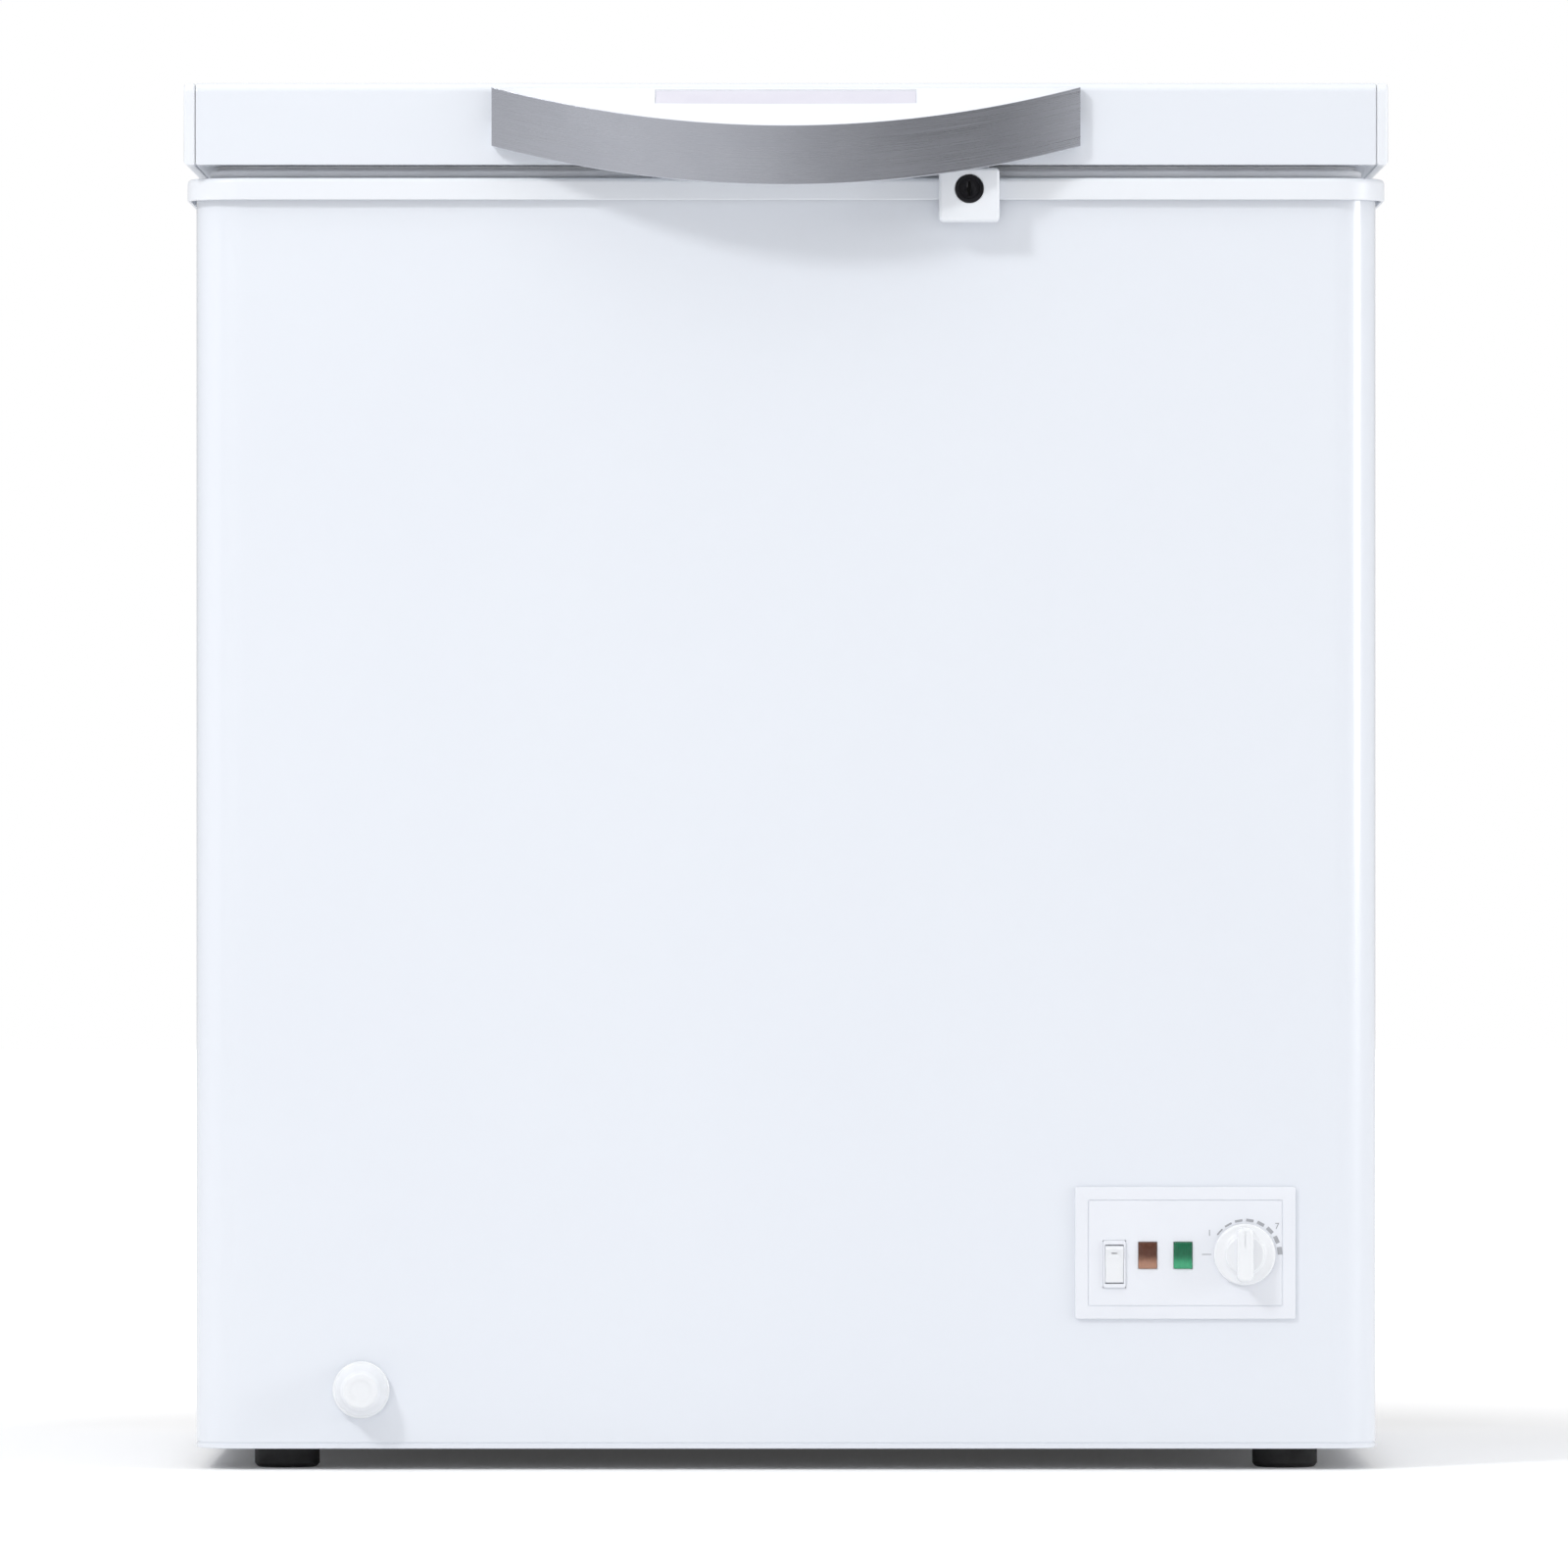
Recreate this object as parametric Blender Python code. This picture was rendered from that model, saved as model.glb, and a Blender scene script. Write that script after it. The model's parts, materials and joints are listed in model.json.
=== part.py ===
"""Chest freezer with a hinged lid, a handle bow, a key lock, a control panel and its cooling parts.

Metres, +Z up. The front faces -Y. The origin is under the middle of the whole outline, on the floor.
"""
import math

import bmesh
import bpy
from mathutils import Vector

# ---- overall sizes
OVERALL_HEIGHT = 0.849
CABINET_WIDTH = 0.724
CABINET_DEPTH = 0.545
FOOT_HEIGHT = 0.013            # floor to the underside of the cabinet
WALL = 0.050                   # steel face to cavity face
FLOOR_FOAM = 0.0530            # foam under the cavity floor
CORNER_RADIUS = 0.028          # vertical front corners of the cabinet
BACK_CORNER_RADIUS = 0.010
GAP = 0.0003                   # left between pieces that touch

# ---- lid, gasket and collar
LID_HEIGHT = 0.050
LID_OVERHANG = 0.0065          # lid past the cabinet, on every side
LID_END_WIDTH = 0.007
LID_EDGE_RADIUS = 0.006
GASKET_SPACE = 0.008
GASKET_INSET = 0.015
GASKET_WIDTH = 0.014
TRIM_HEIGHT = 0.0134
TRIM_OVERHANG = 0.0055
PLUG_DEPTH = 0.016             # lid liner below the lid's underside
PLUG_CLEARANCE = 0.008         # between the plug and the collar

# ---- sheet thicknesses
SHELL_SHEET = 0.0008
PANEL_SHEET = 0.0008
BASE_SHEET = 0.0015
LINER_SHEET = 0.0010
LID_LINER_SHEET = 0.0012
BULKHEAD_SHEET = 0.0010

# ---- cavity
CAVITY_RADIUS = 0.030
LEDGE_WIDTH = 0.010            # shelf round the top of the cavity that carries the basket
LEDGE_DROP = 0.026             # from the collar's top down to that shelf
STEP_FOAM = 0.044              # foam between the compressor bay and the cavity
BAY_WIDTH = 0.206
BAY_HEIGHT = 0.2552

# ---- tubes in the walls
EVAPORATOR_TUBE = 0.003        # radius
CONDENSER_TUBE = 0.0025
EVAPORATOR_GAP = 0.008
CONDENSER_GAP = 0.0066
EVAPORATOR_TURNS = 5
CONDENSER_ROWS = 6

# ---- handle
HANDLE_WIDTH = 0.360
HANDLE_REACH = 0.045           # middle of the bow, out from the lid
HANDLE_END_REACH = 0.008
HANDLE_DROP = 0.025            # the middle hangs this much lower than the ends
BAND_HEIGHT = 0.036
BAND_SHEET = 0.0010
HANDLE_WALL = 0.003
HANDLE_TOP_INSET = 0.0030      # shelf's back edge below the lid's top
HANDLE_FLANGE = 0.022
HANDLE_STATIONS = 20

# ---- lock
LOCK_X = 0.112
LOCK_WIDTH = 0.037
LOCK_TALL = 0.033
LOCK_DEPTH = 0.018
LOCK_WALL = 0.0015
LOCK_BELOW_TRIM_TOP = 0.0110   # block's centre under the collar's top
CYLINDER_ABOVE_CENTRE = 0.0036
CYLINDER_RADIUS = 0.0085
CAM_LENGTH = 0.0105
CAM_HALF_WIDTH = 0.0025
CAM_SHEET = 0.0024
TONGUE_START = 0.006           # from the cylinder's axis, sideways
TONGUE_WIDTH = 0.006
TONGUE_SHEET = 0.0015

# ---- control panel, seen from the front
PANEL_WIDTH = 0.135
PANEL_TALL = 0.081
PANEL_SIDE = 0.050             # panel's right edge in from the cabinet's side
PANEL_BOTTOM = 0.0794          # above the cabinet's underside
PANEL_PROUD = 0.0030
PANEL_FRAME = 0.0078           # rim width outside the groove line
PANEL_BOX_DEPTH = 0.045
PANEL_BOX_INSET = 0.005
SWITCH_OFFSET = (-0.0435, -0.0068)
SWITCH_SIZE = (0.014, 0.029)
ROCKER_RADIUS = 0.0118
ROCKER_TILT = math.radians(8)
ORANGE_OFFSET = (-0.0231, -0.0014)
GREEN_OFFSET = (-0.0015, -0.0014)
LAMP_SIZE = (0.0115, 0.0165)
KNOB_OFFSET = (0.0363, -0.0008)
KNOB_RADIUS = 0.019
KNOB_HUB_RADIUS = 0.012
KNOB_PROUD = 0.019
SPINDLE_RADIUS = 0.003
THERMOSTAT_SIZE = (0.036, 0.030, 0.026)

# ---- drain
DRAIN_X = -0.260
DRAIN_UP = 0.0362              # spout axis above the cabinet's underside
DRAIN_BACK = 0.050             # floor hole behind the cavity's front
SPOUT_RADIUS = 0.0070
SPOUT_BORE = 0.0045
DRAIN_PIPE_RADIUS = 0.0100
SPOUT_CLEARANCE = 0.0004
SPOUT_LENGTH = 0.078
CAP_RADIUS = 0.0175
CAP_FACE_RADIUS = 0.0110
CAP_PROUD = 0.022
PLUG_HEAD_RADIUS = 0.014
FLOOR_HOLE_RADIUS = 0.0082
RISER_BORE = 0.0074

# ---- hinges
HINGE_SPREAD = 0.235           # each side of the middle
HINGE_AXIS_BACK = 0.011        # behind the lid's rear face
HINGE_AXIS_DROP = 0.002        # under the lid's underside
HINGE_PIN_RADIUS = 0.0030
EAR_RADIUS = 0.008
EAR_SHEET = 0.003
EAR_INSIDE = 0.0195
KNUCKLE_RADIUS = 0.0065
KNUCKLE_HALF = 0.009
SPRING_TURNS = 3
SPRING_WIRE = 0.0008

# ---- compressor bay
COMPRESSOR_SIZE = (0.170, 0.140, 0.170)
COMPRESSOR_BACK = 0.115        # axis in from the cabinet's back
MOUNT_RADIUS = 0.011
MOUNT_HEIGHT = 0.013
MOUNT_SPREAD = (0.066, 0.055)
FOOT_PLATE = 0.003
RAIL_SHEET = 0.0025
GRILLE_SIZE = (0.236, 0.196)
GRILLE_RIM = 0.008             # grille past its opening
GRILLE_BACK = 0.025            # grille's rear edge in from the cabinet's back
GRILLE_PROUD = 0.0025
GRILLE_SLOTS = 9
GRILLE_SLOT = 0.009

# ---- basket
BASKET_WIDTH = 0.220
BASKET_HEIGHT = 0.182
BASKET_WALL = 0.004
BASKET_SIDE_GAP = 0.012        # left of the basket when it is pushed home

# ---- places worked out from the sizes above
BACK_REACH = LID_OVERHANG + HINGE_AXIS_BACK + EAR_RADIUS
FRONT_REACH = LID_OVERHANG + HANDLE_REACH
SHIFT_Y = (FRONT_REACH - BACK_REACH) / 2
FRONT_Y = SHIFT_Y - CABINET_DEPTH / 2
BACK_Y = SHIFT_Y + CABINET_DEPTH / 2
HALF_WIDTH = CABINET_WIDTH / 2
LID_UNDERSIDE = OVERALL_HEIGHT - LID_HEIGHT
TRIM_TOP = LID_UNDERSIDE - GASKET_SPACE
TRIM_BOTTOM = TRIM_TOP - TRIM_HEIGHT
TRIM_FRONT = FRONT_Y - TRIM_OVERHANG
LID_FRONT = FRONT_Y - LID_OVERHANG
LID_BACK = BACK_Y + LID_OVERHANG
LID_HALF = HALF_WIDTH + LID_OVERHANG
SHELL_TOP = TRIM_BOTTOM + 0.0074
RIM_TOP = TRIM_TOP - 0.0035
LEDGE_Z = TRIM_TOP - LEDGE_DROP
BASE_BOTTOM = FOOT_HEIGHT + SHELL_SHEET + GAP
BASE_TOP = BASE_BOTTOM + BASE_SHEET
SHELL_BACK = BACK_Y - PANEL_SHEET - GAP
CAVITY_FLOOR = BASE_TOP + FLOOR_FOAM + LINER_SHEET + 2 * GAP
CAVITY_HALF = HALF_WIDTH - WALL
CAVITY_FRONT = FRONT_Y + WALL
CAVITY_BACK = BACK_Y - WALL
BAY_X = HALF_WIDTH - SHELL_SHEET - BAY_WIDTH
BAY_TOP = BASE_TOP + BAY_HEIGHT
STEP_X = BAY_X - STEP_FOAM
STEP_Z = BAY_TOP + STEP_FOAM
AXIS_Y = LID_BACK + HINGE_AXIS_BACK
AXIS_Z = LID_UNDERSIDE - HINGE_AXIS_DROP
LOCK_Z = TRIM_TOP - LOCK_BELOW_TRIM_TOP
CYLINDER_Z = LOCK_Z + CYLINDER_ABOVE_CENTRE
DRAIN_Z = FOOT_HEIGHT + DRAIN_UP
DRAIN_Y = CAVITY_FRONT + DRAIN_BACK
PANEL_X = HALF_WIDTH - PANEL_SIDE - PANEL_WIDTH / 2
PANEL_Z = FOOT_HEIGHT + PANEL_BOTTOM + PANEL_TALL / 2
COMPRESSOR_X = BAY_X + BAY_WIDTH / 2 + 0.004
COMPRESSOR_Y = BACK_Y - COMPRESSOR_BACK
FACING_FRONT = (math.pi / 2, 0, 0)           # local +Z looks along -Y, local +Y is up
FACING_RIGHT = (math.pi / 2, 0, math.pi / 2)  # local +Z looks along +X, local +Y is up
CORNER_STEPS = 7


def clear_scene():
    for old in list(bpy.data.objects):
        bpy.data.objects.remove(old, do_unlink=True)


def make_look(name, colour, roughness, metallic=0.0):
    look = bpy.data.materials.new(name)
    look.use_nodes = True
    shader = look.node_tree.nodes["Principled BSDF"]
    shader.inputs["Base Color"].default_value = (*colour, 1.0)
    shader.inputs["Roughness"].default_value = roughness
    shader.inputs["Metallic"].default_value = metallic
    return look


# ---- shape helpers

def add_object(name, bm, look, place=(0, 0, 0), turn=(0, 0, 0), smooth=False):
    """Closes the bmesh into a named object with its faces pointing out."""
    bmesh.ops.recalc_face_normals(bm, faces=bm.faces)
    mesh = bpy.data.meshes.new(name)
    bm.to_mesh(mesh)
    bm.free()
    if smooth:
        mesh.shade_smooth()
        mesh.set_sharp_from_angle(angle=math.radians(35))
    obj = bpy.data.objects.new(name, mesh)
    obj.location = place
    obj.rotation_euler = turn
    obj.data.materials.append(look)
    bpy.context.scene.collection.objects.link(obj)
    return obj


def rounded_loop(low, high, radii, z, steps=CORNER_STEPS):
    """Points of a rounded rectangle, anticlockwise; radii are front (-Y) and back (+Y)."""
    smallest = min(high[0] - low[0], high[1] - low[1]) / 2 - 0.0001
    front = min(max(radii[0], 0.0005), smallest)
    back = min(max(radii[1], 0.0005), smallest)
    corners = [
        (low[0] + front, low[1] + front, front, 180),
        (high[0] - front, low[1] + front, front, 270),
        (high[0] - back, high[1] - back, back, 0),
        (low[0] + back, high[1] - back, back, 90),
    ]
    points = []
    for x, y, radius, start in corners:
        for step in range(steps + 1):
            angle = math.radians(start + 90 * step / steps)
            points.append(Vector((x + radius * math.cos(angle), y + radius * math.sin(angle), z)))
    return points


def plate_loop(width, tall, radius, z, centre=(0, 0), steps=3):
    low = (centre[0] - width / 2, centre[1] - tall / 2)
    high = (centre[0] + width / 2, centre[1] + tall / 2)
    return rounded_loop(low, high, (radius, radius), z, steps)


def oval_loop(radius_x, radius_y, z, centre=(0, 0), sides=32):
    points = []
    for step in range(sides):
        angle = 2 * math.pi * step / sides
        x = centre[0] + radius_x * math.cos(angle)
        y = centre[1] + radius_y * math.sin(angle)
        points.append(Vector((x, y, z)))
    return points


def loft(name, loops, look, closed=False, **placing):
    """Skins a row of loops with equal point counts; open rows get a cap at both ends."""
    bm = bmesh.new()
    rings = [[bm.verts.new(point) for point in loop] for loop in loops]
    pairs = list(zip(rings, rings[1:]))
    if closed:
        pairs.append((rings[-1], rings[0]))
    else:
        bm.faces.new(list(reversed(rings[0])))
        bm.faces.new(rings[-1])
    for lower, upper in pairs:
        count = len(lower)
        for i in range(count):
            j = (i + 1) % count
            bm.faces.new((lower[i], lower[j], upper[j], upper[i]))
    return add_object(name, bm, look, **placing)


def turned(name, profile, look, closed=False, sides=32, **placing):
    """Turns (radius, height) points about local Z."""
    loops = [oval_loop(radius, radius, height, sides=sides) for radius, height in profile]
    return loft(name, loops, look, closed=closed, smooth=True, **placing)


def add_box(bm, low, high):
    corners = bmesh.ops.create_cube(bm, size=1.0)["verts"]
    low = Vector(low)
    high = Vector(high)
    for corner in corners:
        share = corner.co + Vector((0.5, 0.5, 0.5))
        corner.co = Vector([low[i] + share[i] * (high[i] - low[i]) for i in range(3)])


def boxes(name, spans, look, **placing):
    bm = bmesh.new()
    for low, high in spans:
        add_box(bm, low, high)
    return add_object(name, bm, look, **placing)


def add_bevel(obj, width, segments=2):
    bevel = obj.modifiers.new("edge", "BEVEL")
    bevel.width = width
    bevel.segments = segments
    bevel.limit_method = "ANGLE"
    return obj


def prism_along_x(name, outline, start, end, look, **placing):
    """Extrudes (y, z) points from one x to another."""
    loops = [[Vector((x, y, z)) for y, z in outline] for x in (start, end)]
    return loft(name, loops, look, **placing)


def combine(obj, tool, operation):
    """Cuts or joins with a hidden tool object."""
    tool.hide_render = True
    tool.display_type = "WIRE"
    boolean = obj.modifiers.new(operation.lower(), "BOOLEAN")
    boolean.operation = operation
    boolean.solver = "EXACT"
    boolean.object = tool
    return obj


def tube(name, points, radius, look, resolution=1):
    curve = bpy.data.curves.new(name, "CURVE")
    curve.dimensions = "3D"
    curve.bevel_depth = radius
    curve.bevel_resolution = resolution
    curve.use_fill_caps = True
    spline = curve.splines.new("POLY")
    spline.points.add(len(points) - 1)
    for slot, point in zip(spline.points, points):
        slot.co = (*point, 1.0)
    obj = bpy.data.objects.new(name, curve)
    obj.data.materials.append(look)
    bpy.context.scene.collection.objects.link(obj)
    return obj


def bent_points(corners, radius, steps=4):
    """A route through corner points with each bend rounded to an arc-like curve."""
    corners = [Vector(corner) for corner in corners]
    points = [corners[0]]
    for before, corner, after in zip(corners, corners[1:], corners[2:]):
        start = corner + (before - corner).normalized() * radius
        end = corner + (after - corner).normalized() * radius
        for step in range(steps + 1):
            t = step / steps
            points.append(start * (1 - t) ** 2 + corner * (2 * t * (1 - t)) + end * t ** 2)
    points.append(corners[-1])
    return points


# ---- outlines that several pieces share

def cabinet_loop(grow, z, steps=CORNER_STEPS):
    low = (-HALF_WIDTH - grow, FRONT_Y - grow)
    high = (HALF_WIDTH + grow, SHELL_BACK + grow)
    return rounded_loop(low, high, (CORNER_RADIUS + grow, BACK_CORNER_RADIUS + grow), z, steps)


def collar_loop(grow, z):
    low = (-HALF_WIDTH - grow, FRONT_Y - grow)
    high = (HALF_WIDTH + grow, BACK_Y + grow)
    return rounded_loop(low, high, (CORNER_RADIUS + grow, BACK_CORNER_RADIUS + grow), z)


def cavity_loop(grow, z, steps=CORNER_STEPS):
    low = (-CAVITY_HALF - grow, CAVITY_FRONT - grow)
    high = (CAVITY_HALF + grow, CAVITY_BACK + grow)
    return rounded_loop(low, high, (CAVITY_RADIUS + grow, CAVITY_RADIUS + grow), z, steps)


def lower_cavity_loop(grow, z):
    """The cavity beside the step; it is a little narrower all round, as a drawn liner is."""
    draft = 0.0005
    low = (-CAVITY_HALF - grow + draft, CAVITY_FRONT - grow + draft)
    high = (STEP_X + grow, CAVITY_BACK + grow - draft)
    return rounded_loop(low, high, (CAVITY_RADIUS + grow, CAVITY_RADIUS + grow), z)


# ---- cabinet

def make_cabinet_shell(look):
    fold = 0.012
    loops = [
        cabinet_loop(0, FOOT_HEIGHT),
        cabinet_loop(0, SHELL_TOP),
        cabinet_loop(-SHELL_SHEET, SHELL_TOP),
        cabinet_loop(-SHELL_SHEET, FOOT_HEIGHT + SHELL_SHEET),
        cabinet_loop(-fold, FOOT_HEIGHT + SHELL_SHEET),
        cabinet_loop(-fold, FOOT_HEIGHT),
    ]
    shell = loft("cabinet_shell", loops, look, closed=True, smooth=True)
    flange = 0.022
    sill = 0.020
    back = [((flange - HALF_WIDTH, SHELL_BACK - 0.02, sill), (HALF_WIDTH - flange, BACK_Y + 0.02, 1.0))]
    combine(shell, boxes("back_opening", back, look), "DIFFERENCE")
    hole = PANEL_BOX_INSET - GAP * 2
    low = (PANEL_X - PANEL_WIDTH / 2 + hole, FRONT_Y - 0.01, PANEL_Z - PANEL_TALL / 2 + hole)
    high = (PANEL_X + PANEL_WIDTH / 2 - hole, FRONT_Y + 0.01, PANEL_Z + PANEL_TALL / 2 - hole)
    combine(shell, boxes("panel_opening", [(low, high)], look), "DIFFERENCE")
    radius = SPOUT_RADIUS + 0.0015
    drain = turned("drain_opening", [(radius, -0.01), (radius, 0.01)], look, sides=24,
                   place=(DRAIN_X, FRONT_Y, DRAIN_Z), turn=FACING_FRONT)
    combine(shell, drain, "DIFFERENCE")
    half_y = GRILLE_SIZE[0] / 2 - GRILLE_RIM
    half_z = GRILLE_SIZE[1] / 2 - GRILLE_RIM
    place = grille_place()
    low = (HALF_WIDTH - 0.01, place[1] - half_y, place[2] - half_z)
    high = (HALF_WIDTH + 0.01, place[1] + half_y, place[2] + half_z)
    combine(shell, boxes("grille_opening", [(low, high)], look), "DIFFERENCE")


def grille_place():
    return (HALF_WIDTH, BACK_Y - GRILLE_BACK - GRILLE_SIZE[0] / 2, BASE_TOP + 0.026 + GRILLE_SIZE[1] / 2)


def gland_place():
    return (HALF_WIDTH - 0.060, BACK_Y, FOOT_HEIGHT + 0.045)


def make_back_panel(look):
    low = (0.006 - HALF_WIDTH, BACK_Y - PANEL_SHEET, FOOT_HEIGHT + GAP)
    high = (HALF_WIDTH - 0.006, BACK_Y, TRIM_BOTTOM - GAP)
    panel = boxes("back_panel", [(low, high)], look)
    hole = turned("gland_opening", [(0.0078, -0.01), (0.0078, 0.01)], look, sides=24,
                  place=gland_place(), turn=FACING_FRONT)
    combine(panel, hole, "DIFFERENCE")


def make_cord_gland(look):
    """Bushing in the back panel that the supply lead goes through."""
    bore = 0.0038
    profile = [(bore, 0.006), (0.0075, 0.006), (0.0075, -GAP), (0.0110, -GAP), (0.0110, -0.0030),
               (0.0070, -0.0045), (bore, -0.0045)]
    turned("cord_gland", profile, look, closed=True, sides=24, place=gland_place(), turn=FACING_FRONT)


def make_base(sheet, rubber):
    inset = -SHELL_SHEET - GAP
    loft("base_plate", [cabinet_loop(inset, BASE_BOTTOM), cabinet_loop(inset, BASE_TOP)], sheet)
    inset_x = 0.055
    inset_y = 0.050
    top = BASE_BOTTOM - GAP
    profile = [(0.0180, 0), (0.0200, 0.0025), (0.0200, top - 0.002), (0.0185, top)]
    for x, across in ((inset_x - HALF_WIDTH, "left"), (HALF_WIDTH - inset_x, "right")):
        for y, along in ((FRONT_Y + inset_y, "front"), (BACK_Y - inset_y, "back")):
            turned(f"foot_{along}_{across}", profile, rubber, sides=20, place=(x, y, 0))


def make_inner_liner(look):
    wall = LINER_SHEET
    slope = 0.003
    bend = 0.012
    loops = [
        lower_cavity_loop(wall - bend, CAVITY_FLOOR - wall),
        lower_cavity_loop(wall, CAVITY_FLOOR - wall + bend),
        lower_cavity_loop(wall, STEP_Z - wall),
        cavity_loop(wall, STEP_Z - wall + slope),
        cavity_loop(wall, LEDGE_Z - wall),
        cavity_loop(LEDGE_WIDTH + wall, LEDGE_Z - wall),
        cavity_loop(LEDGE_WIDTH + wall, RIM_TOP - wall),
        cavity_loop(LEDGE_WIDTH * 2, RIM_TOP - wall),
        cavity_loop(LEDGE_WIDTH * 2, RIM_TOP),
        cavity_loop(LEDGE_WIDTH, RIM_TOP),
        cavity_loop(LEDGE_WIDTH, LEDGE_Z),
        cavity_loop(0, LEDGE_Z),
        cavity_loop(0, STEP_Z + slope),
        lower_cavity_loop(0, STEP_Z),
        lower_cavity_loop(0, CAVITY_FLOOR + bend),
        lower_cavity_loop(-bend, CAVITY_FLOOR),
    ]
    liner = loft("inner_liner", loops, look, smooth=True)
    hole = turned("floor_opening", [(FLOOR_HOLE_RADIUS, -0.01), (FLOOR_HOLE_RADIUS, 0.01)], look,
                  sides=24, place=(DRAIN_X, DRAIN_Y, CAVITY_FLOOR))
    combine(liner, hole, "DIFFERENCE")


def foam_outer_loop(z, lower):
    inset = SHELL_SHEET + CONDENSER_GAP
    low = (-HALF_WIDTH + inset, FRONT_Y + inset)
    high = (HALF_WIDTH - inset, SHELL_BACK - inset)
    radii = (CORNER_RADIUS - inset, BACK_CORNER_RADIUS - inset)
    if lower:
        low = (low[0] + 0.0005, low[1] + 0.0005)
        high = (BAY_X - GAP, high[1] - 0.0005)
    return rounded_loop(low, high, radii, z)


def make_cabinet_foam(look):
    bay_top = BAY_TOP + BULKHEAD_SHEET + GAP
    top = RIM_TOP - LINER_SHEET - GAP
    skin = LINER_SHEET + GAP
    slope = 0.003
    loops = [
        foam_outer_loop(BASE_TOP + GAP, True),
        foam_outer_loop(bay_top, True),
        foam_outer_loop(bay_top + slope, False),
        foam_outer_loop(top - 0.003, False),
        cavity_loop(LEDGE_WIDTH + skin, top - 0.003),
        cavity_loop(LEDGE_WIDTH + skin, LEDGE_Z - skin),
        cavity_loop(LINER_SHEET + EVAPORATOR_GAP, LEDGE_Z - skin),
        cavity_loop(LINER_SHEET + EVAPORATOR_GAP, STEP_Z - skin + slope),
        lower_cavity_loop(skin, STEP_Z - skin),
        lower_cavity_loop(skin, CAVITY_FLOOR - skin),
    ]
    foam = loft("cabinet_foam", loops, look)
    radius = DRAIN_PIPE_RADIUS + GAP
    channel = turned("drain_channel", [(radius, -0.01), (radius, DRAIN_Y - FRONT_Y + 0.012)], look,
                     sides=20, place=(DRAIN_X, DRAIN_Y + 0.012, DRAIN_Z), turn=FACING_FRONT)
    combine(foam, channel, "DIFFERENCE")
    well = turned("drain_well", [(radius, DRAIN_Z), (radius, CAVITY_FLOOR + 0.01)], look, sides=20,
                  place=(DRAIN_X, DRAIN_Y, 0))
    combine(foam, well, "DIFFERENCE")


def make_top_trim(look):
    lip = LEDGE_WIDTH - 0.0018
    hang = 0.012
    skirt = 0.0020
    land = TRIM_TOP - 0.0025
    loops = [
        collar_loop(TRIM_OVERHANG, TRIM_BOTTOM),
        collar_loop(TRIM_OVERHANG, TRIM_TOP - 0.0015),
        collar_loop(TRIM_OVERHANG - 0.0015, TRIM_TOP),
        cavity_loop(lip, TRIM_TOP),
        cavity_loop(lip, TRIM_TOP - hang),
        cavity_loop(LEDGE_WIDTH - GAP, TRIM_TOP - hang),
        cavity_loop(LEDGE_WIDTH - GAP, land),
        collar_loop(TRIM_OVERHANG - skirt, land),
        collar_loop(TRIM_OVERHANG - skirt, TRIM_BOTTOM),
    ]
    loft("top_trim_frame", loops, look, closed=True, smooth=True)


def make_bay_bulkhead(look):
    """Bent sheet that keeps the foam out of the compressor bay."""
    inset = SHELL_SHEET + CONDENSER_GAP
    right = HALF_WIDTH - inset
    outline = [
        (BAY_X, BASE_TOP + GAP),
        (BAY_X + BULKHEAD_SHEET, BASE_TOP + GAP),
        (BAY_X + BULKHEAD_SHEET, BAY_TOP),
        (right, BAY_TOP),
        (right, BAY_TOP + BULKHEAD_SHEET),
        (BAY_X, BAY_TOP + BULKHEAD_SHEET),
    ]
    ends = (FRONT_Y + CORNER_RADIUS * 0.55, SHELL_BACK - inset)
    loops = [[Vector((x, y, z)) for x, z in outline] for y in ends]
    loft("bay_bulkhead", loops, look)


def make_side_grille(look):
    width, tall = GRILLE_SIZE
    inside = 0.0015
    loops = [
        plate_loop(width - 2 * GRILLE_RIM - 0.002, tall - 2 * GRILLE_RIM - 0.002, 0.004, -inside - 0.002),
        plate_loop(width - 2 * GRILLE_RIM - 0.002, tall - 2 * GRILLE_RIM - 0.002, 0.004, GAP),
        plate_loop(width, tall, 0.008, GAP),
        plate_loop(width, tall, 0.008, GRILLE_PROUD - 0.001),
        plate_loop(width - 0.002, tall - 0.002, 0.007, GRILLE_PROUD),
    ]
    grille = loft("side_grille", loops, look, place=grille_place(), turn=FACING_RIGHT)
    reach = width / 2 - 2 * GRILLE_RIM
    pitch = (tall - 4 * GRILLE_RIM) / GRILLE_SLOTS
    spans = []
    for row in range(GRILLE_SLOTS):
        middle = (row - (GRILLE_SLOTS - 1) / 2) * pitch
        spans.append(((-reach, middle - GRILLE_SLOT / 2, -0.02), (reach, middle + GRILLE_SLOT / 2, 0.02)))
    slots = boxes("grille_slots", spans, look, place=grille_place(), turn=FACING_RIGHT)
    combine(grille, slots, "DIFFERENCE")


# ---- cooling circuit

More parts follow.
